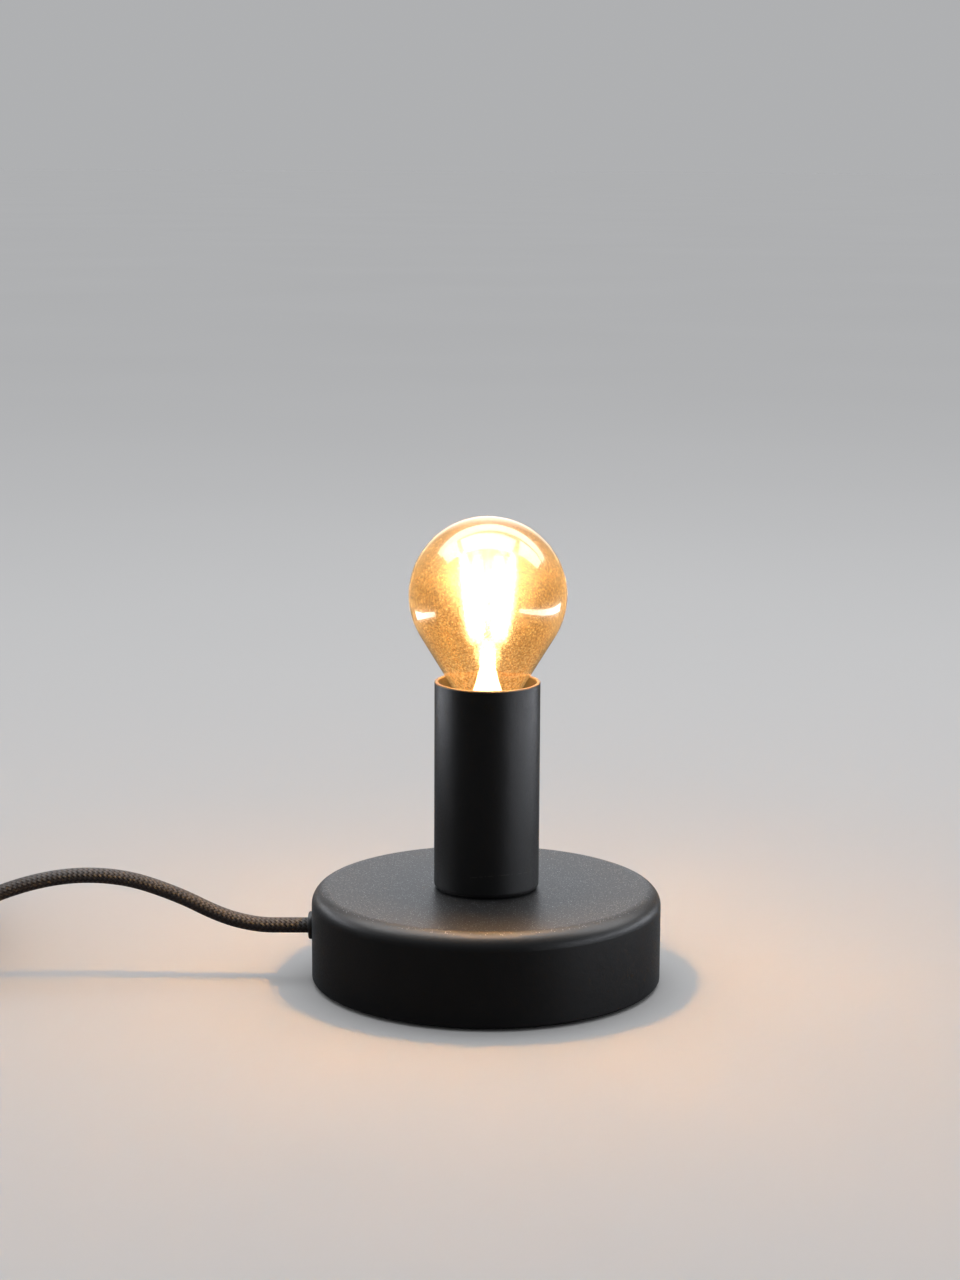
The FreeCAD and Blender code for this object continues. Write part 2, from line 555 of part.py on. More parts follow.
def build_holder():
    cap = Piece("holder_cap")
    bore = S.nipple_r + S.thread_gap
    foot = S.holder_foot
    cap.turn([
        (bore, sleeve_seat), (S.holder_r - foot, sleeve_seat),
        (S.holder_r, sleeve_seat + foot, foot), (S.holder_r, cap_shoulder), (lip, cap_shoulder),
        (lip, block_seat), (cap_bore, block_seat), (cap_bore, sleeve_seat + S.cap_floor),
        (S.cap_boss_r, sleeve_seat + S.cap_floor), (S.cap_boss_r, sleeve_seat + S.nipple_above),
        (bore, sleeve_seat + S.nipple_above)])

    block = Piece("contact_block")
    plug_r = cap_bore - S.holder_gap * 2
    block.turn([
        (0, block_seat - S.block_plug), (plug_r, block_seat - S.block_plug), (plug_r, block_seat),
        (lip, block_seat), (lip, block_post_low), (S.block_post_r, block_post_low),
        (S.block_post_r, block_top), (0, block_top)])
    room = S.terminal_wide / 2 + S.holder_gap
    deep = S.terminal_deep / 2 + S.holder_gap
    for side in (-1, 1):
        block.pocket(terminal_top + S.contact_gap - block_seat + S.block_plug, back=True,
                     shift=(0, 0, block_seat - S.block_plug), outlines=[
                         box(side * S.terminal_at - room, -deep, side * S.terminal_at + room, deep)])
    slot = S.strip_thick / 2 + S.holder_gap
    slot_wide = S.strip_wide / 2 + S.holder_gap
    for centre in strip_places():
        block.pocket(S.block_flange + S.block_post, shift=(0, 0, block_top), outlines=[
            box(centre - slot, -slot_wide, centre + slot, slot_wide)])

    skirt = Piece("holder_skirt")
    inner = S.holder_r - S.holder_wall
    tube_low = block_top + S.screw_shell_wall + S.tube_gap
    ledge = skirt_high - S.skirt_mouth_deep
    wall = S.skirt_bore + S.tube_wall
    seat = block_post_low + S.holder_gap
    skirt.turn([
        (lip + S.holder_gap, cap_shoulder), (S.holder_r, cap_shoulder),
        (S.holder_r, skirt_high - S.skirt_round), (S.holder_r - S.skirt_round, skirt_high, S.skirt_round),
        (S.skirt_mouth, skirt_high), (S.skirt_mouth, ledge), (S.skirt_bore, ledge - S.mouth_bevel),
        (S.skirt_bore, tube_low), (wall, tube_low), (wall, ledge - S.mouth_rise),
        (wall + S.mouth_step, ledge), (wall + S.mouth_step, skirt_high - S.holder_wall),
        (inner, skirt_high - S.holder_wall), (inner, seat + S.skirt_lead), (inner - S.skirt_lead, seat),
        (lip + S.holder_gap, seat)])

    shell = Piece("screw_shell")
    wall_out = S.screw_shell_r + S.screw_shell_wall
    high = block_top + S.screw_shell_long
    shell.turn([
        (S.screw_shell_hole, block_top), (wall_out, block_top), (wall_out, high),
        (S.screw_shell_r, high), (S.screw_shell_r, block_top + S.screw_shell_wall),
        (S.screw_shell_hole, block_top + S.screw_shell_wall)])

    build_contacts()


def strip_places():
    """Where the two contact strips stand: the middle contact's, and the screw shell's."""
    middle = -(S.screw_shell_hole - S.strip_thick / 2 - S.strip_clear)
    return middle, S.terminal_at


def build_contacts():
    middle, side = strip_places()
    half = S.strip_thick / 2
    root = terminal_top - S.strip_root
    centre = Piece("centre_contact")
    centre.pad(S.terminal_deep, "XZ_Plane", both=True, outlines=[terminal_outline(-1, terminal_top)])
    tongue = block_top + S.contact_rise
    bend = S.strip_bend
    centre.pad(S.strip_wide, "XZ_Plane", both=True, outlines=[[
        (middle - half, root), (middle + half, root), (middle + half, tongue - bend),
        (middle + bend, tongue - S.strip_thick, -(bend - half)), (S.tip_r, tongue - S.strip_thick),
        (S.tip_r, tongue), (middle + bend, tongue), (middle - half, tongue - bend, bend + half)]])
    shell_side = Piece("side_contact")
    shell_side.pad(S.terminal_deep, "XZ_Plane", both=True, outlines=[terminal_outline(1, terminal_top)])
    shell_side.pad(S.strip_wide, "XZ_Plane", both=True, outlines=[
        box(side - half, root, side + half, block_top)])

    screw_height = block_seat - S.block_plug - S.terminal_screw_drop
    face = -S.terminal_deep / 2
    for contact, at in ((centre, -S.terminal_at), (shell_side, S.terminal_at)):
        contact.pocket(S.terminal_deep, "XZ_Plane", shift=(0, 0, face), back=True,
                       circles=[(at, screw_height, S.terminal_screw_r + S.thread_gap)])
    screws = Piece("terminal_screws")
    for at in (-S.terminal_at, S.terminal_at):
        screws.pad(S.terminal_screw_long, "XZ_Plane", shift=(0, 0, face),
                   circles=[(at, screw_height, S.terminal_screw_r)])
        screws.pad(S.terminal_head_thick, "XZ_Plane", shift=(0, 0, face - S.terminal_head_thick),
                   circles=[(at, screw_height, S.terminal_head_r)])


def build_bulb():
    glass = Piece("bulb_glass")
    low, start, end, touch, ball, bend = globe_section(0)
    in_low, in_start, in_end, in_touch, hollow, in_bend = globe_section(S.glass_wall)
    glass.turn([
        low, start, (*end, -bend), touch, (0, globe_centre + ball, ball), (0, globe_centre + hollow),
        (*in_touch, -hollow), in_end, (*in_start, in_bend), in_low])

    cap = Piece("bulb_cap")
    low, wall = tip_height + S.bulb_cap_lift, S.bulb_cap_wall
    flare_low = tip_height + S.thread_top
    flare_high = flare_low + S.flare_rise
    curl = S.bulb_cap_r - wall - S.cap_curl
    cap.turn([
        (curl, low), (S.bulb_cap_r, low), (S.bulb_cap_r, flare_low), (S.bulb_cap_flare, flare_high),
        (S.bulb_cap_flare, cap_high), (S.bulb_cap_flare - wall, cap_high),
        (S.bulb_cap_flare - wall, flare_high), (S.bulb_cap_r - wall, flare_low),
        (S.bulb_cap_r - wall, low + wall), (curl, low + wall)])

    cement = Piece("basing_cement")
    joint = S.cement_joint
    cement.turn(box(S.neck_r + joint, neck_low, S.bulb_cap_flare - wall - joint, cap_high - S.cement_drop))

    insulator = Piece("bulb_cap_insulator")
    rim = S.bulb_cap_r - wall - S.insulator_gap
    base = tip_height + S.tip_thick
    insulator_top = base + S.insulator_thick
    insulator.turn([
        (0, base), (S.tip_r, base), (S.tip_r + S.contact_gap, base - S.insulator_lip),
        (S.tip_r + S.insulator_rim, base - S.insulator_lip), (rim, insulator_top - S.insulator_edge),
        (rim, insulator_top), (0, insulator_top)])

    tip = Piece("bulb_tip_contact")
    half = S.tip_r / 2
    tip.turn([
        (0, tip_height), (half, tip_height), (S.tip_r, tip_height + half, half), (S.tip_r, base), (0, base)])

    board = Piece("driver_board")
    board_low = insulator_top + S.board_gap
    chip_low = board_low + S.board_tall / 2 + S.chip_rise
    board.pad(S.board_thick, "XZ_Plane", both=True, outlines=[
        box(-S.board_wide / 2, board_low, S.board_wide / 2, board_low + S.board_tall)])
    board.pad(S.chip_thick, "XZ_Plane", shift=(0, 0, S.board_thick / 2), outlines=[
        box(-S.chip_wide / 2, chip_low, S.chip_wide / 2, chip_low + S.chip_tall)])
    board.pad(S.can_tall, shift=(0, 0, board_low + S.chip_rise), circles=[
        (0, S.board_thick / 2 + S.can_r - S.thread_gap, S.can_r)])

    build_mount()


def globe_section(inset):
    """Half of the globe's section, this far inside its skin: straight neck, bend, cone and sphere."""
    angle = S.cone_angle
    ball = S.globe_r - inset
    neck = S.neck_r - inset
    bend = S.neck_bend + inset
    # The cone touches the sphere where the sphere's radius leans by the cone's angle.
    touch = (ball * cosine(angle), globe_centre - ball * sine(angle))
    corner = touch[1] - (touch[0] - neck) / tangent(angle)
    reach = bend * tangent(angle / 2)
    start = (neck, corner - reach)
    end = (neck + reach * sine(angle), corner + reach * cosine(angle))
    return (neck, neck_low), start, end, touch, ball, bend


def build_mount():
    """The glass stem, the glowing sticks and the leads that hold them."""
    stem = Piece("bulb_stem")
    skirt_r = S.neck_r - S.glass_wall - S.stem_gap
    skirt_low = neck_low + S.stem_lift
    press = neck_low + S.stem_press
    top = globe_centre - S.stem_top
    stem.turn([
        (0, press - S.stem_web), (S.stem_r, press - 2 * S.stem_web), (skirt_r - S.stem_wall, skirt_low),
        (skirt_r, skirt_low), (S.stem_press_r, press), (S.stem_r, press + S.stem_taper),
        (S.stem_r, top - S.stem_r), (0, top, S.stem_r)])

    foot = globe_centre - S.filament_drop
    sticks = Piece("bulb_filaments")
    r, tall = S.filament_r, S.filament_long
    stick = sticks.turn([
        (0, 0), (r / 2, 0), (r, r / 2, r / 2), (r, tall - r / 2), (r / 2, tall, r / 2), (0, tall)],
        shift=(S.filament_foot_r, foot, 0), tilt=-S.filament_lean)
    sticks.ring([stick], S.filaments)

    leads = Piece("filament_wires")
    crown = foot + tall * cosine(S.filament_lean) + S.lead_r + S.lead_gap
    reach = S.filament_foot_r + tall * sine(S.filament_lean)
    leads.turn(box(0, top + S.contact_gap, S.lead_r, crown + S.lead_r))
    arm = leads.pad(reach, "YZ_Plane", circles=[(0, crown, S.lead_r)])
    low = foot - S.lead_r - S.lead_gap
    root = S.stem_r + S.contact_gap
    lower = leads.turn(
        box(0, 0, S.lead_r, S.filament_foot_r + r - root), shift=(root, low, 0), tilt=-Size(90, "90"))
    leads.ring([arm, lower], S.filaments)


SWITCH_PLACE = (S.switch_x, S.switch_y)


def switch_piece(label):
    return Piece(label, SWITCH_PLACE, 90)


def build_switch():
    half_long, half_wide = S.switch_long / 2, S.switch_wide / 2
    inner_long, inner_wide = half_long - S.switch_wall, half_wide - S.switch_wall
    inner_corner = S.switch_corner - S.switch_wall
    tray = rounded(half_long, half_wide, S.switch_corner)
    cavity = rounded(inner_long, inner_wide, inner_corner)
    bosses = [(-S.boss_x, -S.boss_y), (S.boss_x, S.boss_y)]
    floor, split, high = S.switch_floor, S.switch_split, S.switch_high
    ear_outlines = [box(-S.ear_half, side * S.ear_at + min(side, 0) * S.ear_thick, S.ear_half,
                        side * S.ear_at + max(side, 0) * S.ear_thick) for side in (-1, 1)]
    bearing = S.pivot_r + S.pivot_gap
    cord_hole = [(0, split, S.cord_r + S.bush_gap)]
    over = S.cut_over
    in_floor = {"shift": (0, 0, floor - over)}

    base = switch_piece("switch_base")
    tray_block = base.pad(split, outlines=[tray])
    base.round_edges(tray_block, S.switch_foot_round, lambda b: b.ZMax < 0.01)
    base.pocket(split - floor, shift=(0, 0, split), outlines=[cavity])
    base.pad(S.pivot_height - floor + over, outlines=ear_outlines, **in_floor)
    base.pad(split - floor + over, circles=[b + (S.boss_r,) for b in bosses], **in_floor)
    rest = split - S.cord_r - S.bush_gap
    for side in (-1, 1):
        base.pad(rest - floor + over, outlines=[
            box(side * S.saddle_at - S.saddle_wide / 2, -S.saddle_half,
                side * S.saddle_at + S.saddle_wide / 2, S.saddle_half)], **in_floor)
    base.pocket(S.switch_long + 2 * over, "YZ_Plane", both=True, circles=cord_hole)
    base.pocket(S.switch_wide - 2 * S.switch_wall, "XZ_Plane", both=True,
                circles=[(0, S.pivot_height, bearing)])
    base.pocket(split + 2 * over, shift=(0, 0, -over), back=True,
                circles=[b + (S.case_screw_r + S.screw_gap,) for b in bosses])
    base.pocket(S.case_head_thick + S.case_head_sink, back=True,
                circles=[b + (S.case_head_r + S.screw_gap,) for b in bosses])

    cover = switch_piece("switch_cover")
    lid = cover.pad(high - split, shift=(0, 0, split), outlines=[tray])
    cover.round_edges(lid, S.switch_top_round, lambda b: b.ZMin > high.number - 0.01)
    roof = high - S.switch_floor
    cover.pocket(roof - split, shift=(0, 0, split), back=True, outlines=[cavity])
    cover.pad(roof - S.pivot_height + over, shift=(0, 0, S.pivot_height), outlines=ear_outlines)
    cover.pad(roof - split + over, shift=(0, 0, split), circles=[b + (S.boss_r,) for b in bosses])
    slot_long = S.rocker_r + S.rocker_slot_gap
    slot_wide = S.rocker_wide / 2 + S.rocker_slot_gap
    cover.pocket(S.switch_floor + 2 * over, shift=(0, 0, high + over), outlines=[
        box(-slot_long, -slot_wide, slot_long, slot_wide)])
    cover.pocket(S.pivot_long + 2 * S.pivot_end_gap, "XZ_Plane", both=True,
                 circles=[(0, S.pivot_height, bearing)])
    cover.pocket(S.switch_long + 2 * over, "YZ_Plane", both=True, circles=cord_hole)
    cover.pocket(S.case_screw_bite + S.tap_spare, shift=(0, 0, split), back=True,
                 circles=[b + (S.case_core_r + S.screw_gap,) for b in bosses])

    screws = switch_piece("switch_cover_screws")
    head_low = S.case_head_sink
    head_high = head_low + S.case_head_thick
    point = split + S.case_screw_bite
    for x, y in bosses:
        screws.turn([
            (0, head_low), (S.case_head_r, head_low), (S.case_head_r, head_high),
            (S.case_core_r, head_high), (S.case_core_r, point - S.case_screw_point), (0, point)],
            shift=(x, 0, -y))

    build_rocker()
    build_poles(half_long)


def build_rocker():
    """Drawn level with its pivot, then tilted to the side that is pressed down."""
    at = {"shift": (0, S.pivot_height, 0), "tilt": -S.rocker_angle}
    r, under = S.rocker_r, S.rocker_under
    rise = S.rocker_top + r * sine(S.rocker_angle) * S.rocker_dish
    top_x = root(r * r - rise * rise)
    low_x = root(r * r - under * under)
    nub = under + S.nub_high
    rocker = switch_piece("switch_rocker")
    rocker.pad(S.rocker_wide, "XZ_Plane", both=True, outlines=[[
        (low_x, -under), (top_x, rise, r), (0, S.rocker_top), (-top_x, rise), (-low_x, -under, r),
        (-S.nub_wide / 2, -under), (-S.nub_tip / 2, -nub), (S.nub_tip / 2, -nub),
        (S.nub_wide / 2, -under)]], **at)
    rocker.pad(S.pivot_long, "XZ_Plane", both=True, circles=[(0, 0, S.pivot_r)], **at)

    bridge = switch_piece("switch_bridge")
    thick, reach = S.bridge_thick, S.pole_apart + S.pole_wide / 2
    bridge.pad(2 * reach, "XZ_Plane", both=True, outlines=[
        box(S.bridge_at - S.bridge_back, -under - thick, S.bridge_at + S.bridge_front, -under)], **at)
    for side in (-1, 1):
        bridge.turn([
            (0, 0), (0, -S.dome_high), (S.dome_flat_r, -S.dome_high), (S.dome_r, -S.dome_edge),
            (S.dome_r, 0)],
            shift=(dome_place(0), S.pivot_height + dome_place(1), side * S.pole_apart),
            tilt=-S.rocker_angle)


def dome_place(axis):
    """Where the domes' seats lie on the tilted rocker, from the pivot: along the switch, or up."""
    x, z = S.bridge_at, -S.rocker_under - S.bridge_thick
    lean = S.rocker_angle
    if axis == 0:
        return x * cosine(lean) + z * sine(lean)
    return z * cosine(lean) - x * sine(lean)


def build_poles(half_long):
    floor, split, thick = S.switch_floor, S.switch_split, S.pole_strip
    tilt_reach = S.dome_flat_r * sine(S.rocker_angle)
    seat = S.pivot_height + dome_place(1) - S.dome_high * cosine(S.rocker_angle)
    table = seat - tilt_reach - S.dome_gap
    near, far = dome_place(0) - S.table_back, dome_place(0) + S.table_front
    block_high = floor + S.pole_block_high
    head_high = block_high + S.pole_head_thick
    half = S.pole_block / 2
    poles = switch_piece("switch_contacts")
    screws = switch_piece("switch_terminal_screws")
    for side in (1, -1):
        end = side * S.pole_screw_at
        inner = end - side * (half - S.pole_overlap)
        low, high = (far - thick, inner) if side > 0 else (inner, far)
        strip = {"plane": "XZ_Plane", "both": True, "shift": (0, 0, -side * S.pole_apart)}
        poles.pad(S.pole_wide, outlines=[[
            (far - thick, floor + thick), (far - thick, table - thick), (near, table - thick),
            (near, table), (far, table), (far, floor + thick)]], **strip)
        poles.pad(S.pole_wide, outlines=[box(low, floor, high, floor + thick)], **strip)
        poles.pad(S.pole_block_high, shift=(0, 0, floor), outlines=[
            box(end - half, side * S.pole_apart - half, end + half, side * S.pole_apart + half)])
        poles.pocket(S.pole_block_high - thick, shift=(0, 0, block_high),
                     circles=[(end, side * S.pole_apart, S.pole_screw_r + S.thread_gap)])
        screws.turn([
            (0, floor + S.pole_screw_lift), (S.pole_screw_r, floor + S.pole_screw_lift),
            (S.pole_screw_r, block_high), (S.pole_head_r, block_high),
            (S.pole_head_r, head_high - S.pole_head_bevel),
            (S.pole_head_r - S.pole_head_bevel, head_high), (0, head_high)],
            shift=(end, 0, -side * S.pole_apart))

    saddles = switch_piece("switch_cord_clamps")
    rest = split - S.cord_r - S.bush_gap
    crown = split + S.cord_r + S.bush_gap
    for side in (-1, 1):
        saddles.pad(S.saddle_wide, "YZ_Plane", both=True, shift=(0, 0, side * S.saddle_at), outlines=[[
            (-S.saddle_half, rest), (-(S.saddle_half - S.saddle_leg), rest),
            (-(S.saddle_half - S.saddle_leg), crown), (S.saddle_half - S.saddle_leg, crown),
            (S.saddle_half - S.saddle_leg, rest), (S.saddle_half, rest),
            (S.saddle_half, crown + S.saddle_thick), (-S.saddle_half, crown + S.saddle_thick)]])

    stubs = switch_piece("switch_cord_ends")
    for side in (-1, 1):
        stubs.pad(half_long - S.stub_end, "YZ_Plane", back=side < 0,
                  shift=(0, 0, side * S.stub_end), circles=[(0, split, S.cord_r)])


def build_plug():
    place_at = (S.plug_x, S.plug_y, S.plug_z)
    body = Piece("plug_body", place_at)
    stations = [
        (0, S.plug_wide, S.plug_thick, S.plug_corner),
        (S.plug_straight, S.plug_wide, S.plug_thick, S.plug_corner),
        (S.plug_waist_at, S.plug_waist_wide, S.plug_waist_thick, S.plug_corner),
        (S.plug_long, S.plug_tail_wide, S.plug_tail_thick, S.plug_tail_corner),
    ]
    sections = [body.sketch("XZ_Plane", [rounded(wide / 2, thick / 2, corner)], shift=(0, 0, -away))
                for away, wide, thick, corner in stations]
    body.feature("AdditiveLoft", sections[0], Sections=sections[1:], Ruled=True)
    for side in (-1, 1):
        at = side * S.pin_apart / 2
        body.pocket(S.pin_sleeve_deep + S.pin_fit, "XZ_Plane", circles=[(at, 0, S.pin_sleeve_r + S.pin_fit)])
        body.pocket(S.pin_deep + S.pin_fit, "XZ_Plane", circles=[(at, 0, S.pin_core + S.pin_fit)])

    pins = Piece("plug_pins", place_at)
    sleeves = Piece("plug_pin_sleeves", place_at)
    collar = S.pin_long - S.pin_bare
    half = S.pin_r / 2
    for side in (-1, 1):
        at = {"plane": "XY_Plane", "axis": "V_Axis", "shift": (side * S.pin_apart / 2, 0, 0)}
        pins.turn([
            (0, -S.pin_long), (half, -S.pin_long), (S.pin_r, -S.pin_long + half, half),
            (S.pin_r, -collar), (S.pin_core, -collar), (S.pin_core, S.pin_deep), (0, S.pin_deep)], **at)
        sleeves.turn(box(S.pin_core + S.pin_fit, -collar, S.pin_sleeve_r, S.pin_sleeve_deep), **at)

    relief = Piece("plug_strain_relief", place_at)
    relief.turn(relief_outline(), "YZ_Plane", "H_Axis")


def relief_outline():
    """A tapered sleeve with ribs, drawn along the cord from the plug to the relief's end."""
    start, length = S.plug_long, S.relief_long
    pitch = length / S.relief_ribs
    groove = S.rib_land + S.rib_lean
    outline = [(start, 0), (start, S.relief_r)]
    for rib in range(int(number(S.relief_ribs))):
        steps = (
            (S.rib_land, 0), (groove, S.relief_groove), (groove + S.groove_long, S.relief_groove), (pitch, 0))
        for step, deep in steps:
            run = rib * pitch + step
            radius = S.relief_r - (S.relief_r - S.relief_end_r) * run / length
            outline.append((start + run, radius - deep))
    outline.append((start + length, 0))
    return outline


ARC_SHARE = 0.45
VOLUME_SLACK = 0.005


def straight_runs_and_arcs(points):
    """Edges along straight runs joined by tangent arcs, with the arcs' radii."""
    spots = [Vector(*p) for p in points]
    edges, radii = [], []
    start = spots[0]
    for before, corner, after in zip(spots, spots[1:], spots[2:]):
        back, ahead = before - corner, after - corner
        half_turn = (math.pi - back.getAngle(ahead)) / 2
        cut = ARC_SHARE * min(back.Length, ahead.Length)
        radii.append(cut / math.tan(half_turn))
        into = corner + Vector(back).normalize() * cut
        out = corner + Vector(ahead).normalize() * cut
        inward = (Vector(back).normalize() + Vector(ahead).normalize()).normalize()
        depth = radii[-1] / math.cos(half_turn) - radii[-1]
        edges.append(Part.LineSegment(start, into).toShape())
        edges.append(Part.Arc(into, corner + inward * depth, out).toShape())
        start = out
    edges.append(Part.LineSegment(start, spots[-1]).toShape())
    return edges, radii


def sweep_tube(label, edges, radius):
    """A round tube along tangent edges; its volume is compared with its section times its length."""
    path = Part.Wire(edges)
    start = path.Edges[0]
    heading = start.tangentAt(start.FirstParameter)
    ring = Part.Wire(Part.Circle(start.valueAt(start.FirstParameter), heading, radius).toShape())
    tube = path.makePipeShell([ring], True, False)
    expected = math.pi * radius * radius * path.Length
    if tube.Volume < 0:
        tube = tube.reversed()
    if abs(tube.Volume / expected - 1) > VOLUME_SLACK:
        raise RuntimeError("%s: volume %.1f, expected %.1f" % (label, tube.Volume, expected))
    keep_shape(label, tube)
    return path.Length


def build_wires():
    r = number(S.wire_r)
    tail, height, apart = -number(S.tail_end), number(S.exit_height), number(S.wire_apart)
    low, high = number(web_low - S.nipple_below), number(sleeve_seat + S.nipple_above)
    foot = number(terminal_top - S.terminal_drop)
    for label, side in (("wire_live", 1), ("wire_neutral", -1)):
        y, end = side * apart, side * number(S.terminal_at)
        edges, _ = straight_runs_and_arcs([
            (tail, y, height), (tail + 3.0, y, height), (tail + 7.0, y, low - 5.0),
            (-3.4, y, low - 6.6), (0, y, low - 3.0), (0, y, (low + high) / 2 - 3),
            (0.1 * side, y, high - 1.0), (end * 0.35, y * 0.8, high + 1.8),
            (end * 0.8, y * 0.3, high + 2.1), (end, 0, foot - 1.2), (end, 0, foot)])
        sweep_tube(label, edges, r)

    stub, split = number(S.stub_end), number(S.switch_split)
    place_at = FreeCAD.Placement(Vector(number(S.switch_x), number(S.switch_y), 0),
                                 FreeCAD.Rotation(Z_AXIS, 90))
    face = number(S.pole_screw_at + S.pole_block / 2)
    pole, side_lane = number(S.pole_apart), number(S.switch_wide / 2 - S.switch_wall) - 1.8
    entry = number(S.switch_floor + S.pole_block_high * 0.6)
    runs = [[(way * stub, way * apart, split), (way * (stub - 1.3), way * apart, split),
             (way * (face + 1.5), way * pole, entry), (way * face, way * pole, entry)]
            for way in (-1, 1)]
    runs.append([
        (-stub, apart, split), (-stub + 1.6, apart, split), (-stub + 5.5, 5.2, split + 0.2),
        (-9.0, side_lane, split + 0.4), (0, side_lane + 0.1, split + 0.5), (9.0, side_lane, split + 0.4),
        (stub - 7.0, 5.0, split + 0.9), (stub - 1.6, -apart, split), (stub, -apart, split)])
    made = []
    for run in runs:
        edges, _ = straight_runs_and_arcs(run)
        path = Part.Wire(edges)
        heading = path.Edges[0].tangentAt(path.Edges[0].FirstParameter)
        ring = Part.Wire(Part.Circle(Vector(*run[0]), heading, r * 0.8).toShape())
        made.append(path.makePipeShell([ring], True, False))
    wires = keep_shape("switch_wires", Part.makeCompound(made))
    wires.Placement = place_at


def quarter_knots():
    """The coil's centre line at every quarter turn: angle, radius and height, with their slopes."""
    pitch, radius = number(S.coil_pitch), number(S.coil_r)
    height = number(S.coil_z)
    layers, quarters = int(number(S.coil_layers)), int(number(S.coil_quarters))
    steps = []
    for layer in range(layers):
        way = -1 if layer % 2 == 0 else 1
        steps += [(way, 0)] * quarters
        if layer < layers - 1:
            steps += [(way, 1), (-way, 1)]
    steps.append((1, 2))
    knots = [(0, radius, height, 0.0, 0.0)]
    for index, (way, climb) in enumerate(steps, 1):
        radius += way * pitch / 4
        height += pitch * climb / 2
        ahead = steps[index] if index < len(steps) else (0, 0)
        slope = 0.0 if way != ahead[0] else way * pitch / (2 * math.pi)
        steep = 1.5 * pitch / math.pi if climb == 1 and ahead[1] == 1 else 0.0
        knots.append((index, radius, height, slope, steep))
    return knots


def knot_place(knot):
    """A knot's point and heading. The coil turns clockwise, seen from above, from its north side."""
    index, radius, height, slope, steep = knot
    angle = math.pi / 2 - index * math.pi / 2
    out = Vector(math.cos(angle), math.sin(angle), 0)
    along = Vector(math.sin(angle), -math.cos(angle), 0)
    centre = Vector(number(S.coil_x), number(S.coil_y), height)
    heading = along * radius + out * slope + Z_AXIS * steep
    return centre + out * radius, heading.normalize()


def arc_middle(start, heading, end):
    """Halfway along the arc that leaves start along heading and ends at end, and the arc's radius."""
    chord = end - start
    normal = chord - heading * chord.dot(heading)
    radius = chord.dot(chord) / (2 * normal.Length)
    centre = start + normal.normalize() * radius
    return centre + ((start + end) * 0.5 - centre).normalize() * radius, radius


def biarc(start, heading, end, leaving):
    """Two tangent arcs between two points with given headings, and the smaller radius."""
    gap = end - start
    both = heading + leaving
    share = 2 * (1 - heading.dot(leaving))
    reach = (-gap.dot(both) + math.sqrt(gap.dot(both) ** 2 + share * gap.dot(gap))) / share
    joint = ((start + heading * reach) + (end - leaving * reach)) * 0.5
    first, radius_first = arc_middle(start, heading, joint)
    last, radius_last = arc_middle(end, -leaving, joint)
    arcs = [Part.Arc(start, first, joint).toShape(), Part.Arc(joint, last, end).toShape()]
    return arcs, min(radius_first, radius_last)


def build_coil():
    knots = [knot_place(knot) for knot in quarter_knots()]
    lead = number(S.coil_lead)
    enter, leave = knots[0][0] - knots[0][1] * lead, knots[-1][0] + knots[-1][1] * lead
    edges, tightest = [Part.LineSegment(enter, knots[0][0]).toShape()], 1e9
    for (start, heading), (end, leaving) in zip(knots, knots[1:]):
        arcs, radius = biarc(start, heading, end, leaving)
        edges += arcs
        tightest = min(tightest, radius)
    edges.append(Part.LineSegment(knots[-1][0], leave).toShape())
    length = sweep_tube("cord_coil", edges, number(S.cord_r))
    print("cord_coil: %.2f turns, length %.1f, tightest radius %.1f, least gap to itself %.2f" % (
        (len(knots) - 1) / 4, length, tightest, least_gap(edges)))
    return length, enter, leave


def least_gap(edges):
    """The least distance between the coil's turns, surface to surface, on points along its line."""
    spacing, same_bend = 1.5, 25.0
    spots, along, run = [], [], 0.0
    for edge in edges:
        count = max(int(edge.Length / spacing), 2)
        for i in range(count):
            share = edge.FirstParameter + (edge.LastParameter - edge.FirstParameter) * i / count
            spots.append(edge.valueAt(share))
            along.append(run + edge.Length * i / count)
        run += edge.Length
    least = 1e9
    for i, spot in enumerate(spots):
        for j in range(i + 1, len(spots)):
            if along[j] - along[i] > same_bend:
                least = min(least, (spot - spots[j]).Length)
    return least - 2 * number(S.cord_r)


def build_cord():
    total, enter, leave = build_coil()
    switch = Vector(number(S.switch_x), number(S.switch_y), number(S.switch_split))
    half = Vector(0, number(S.switch_long) / 2, 0)
    relief = Vector(number(S.plug_x), number(S.plug_y + S.plug_long + S.relief_long), number(S.plug_z))
    hole = Vector(-number(S.base_r), 0, number(S.exit_height))
    routes = [
        ("cord_lamp_side", hole, LAMP_TO_SWITCH, switch - half),
        ("cord_plug_side", switch + half, SWITCH_TO_COIL, enter),
        ("cord_plug_end", leave, COIL_TO_PLUG, relief),
    ]
    for label, start, between, end in routes:
        edges, radii = straight_runs_and_arcs([tuple(start)] + between + [tuple(end)])
        length = sweep_tube(label, edges, number(S.cord_r))
        print("%s: length %.1f, radii %s" % (label, length, ["%.1f" % radius for radius in radii]))
        total += length
    print("free cord in all %.1f" % total)


def check_document():
    bad = [o.Name for o in doc.Objects if {"Invalid", "Error"} & set(o.State)]
    for piece in pieces:
        shape = piece.Shape
        if shape.isNull() or not shape.isValid() or not shape.Solids:
            bad.append(piece.Label + " shape")
    if bad:
        raise RuntimeError("these did not build: " + ", ".join(bad))


build_base()
build_cord_entry()
build_nipple()
build_sleeve()
build_holder()
build_bulb()
build_switch()
build_plug()
build_wires()
build_cord()
doc.recompute()
check_document()

os.makedirs("parts", exist_ok=True)
for piece in pieces:
    piece.Shape.exportStep("parts/%s.step" % piece.Label)
print("%d nodes written" % len(pieces))
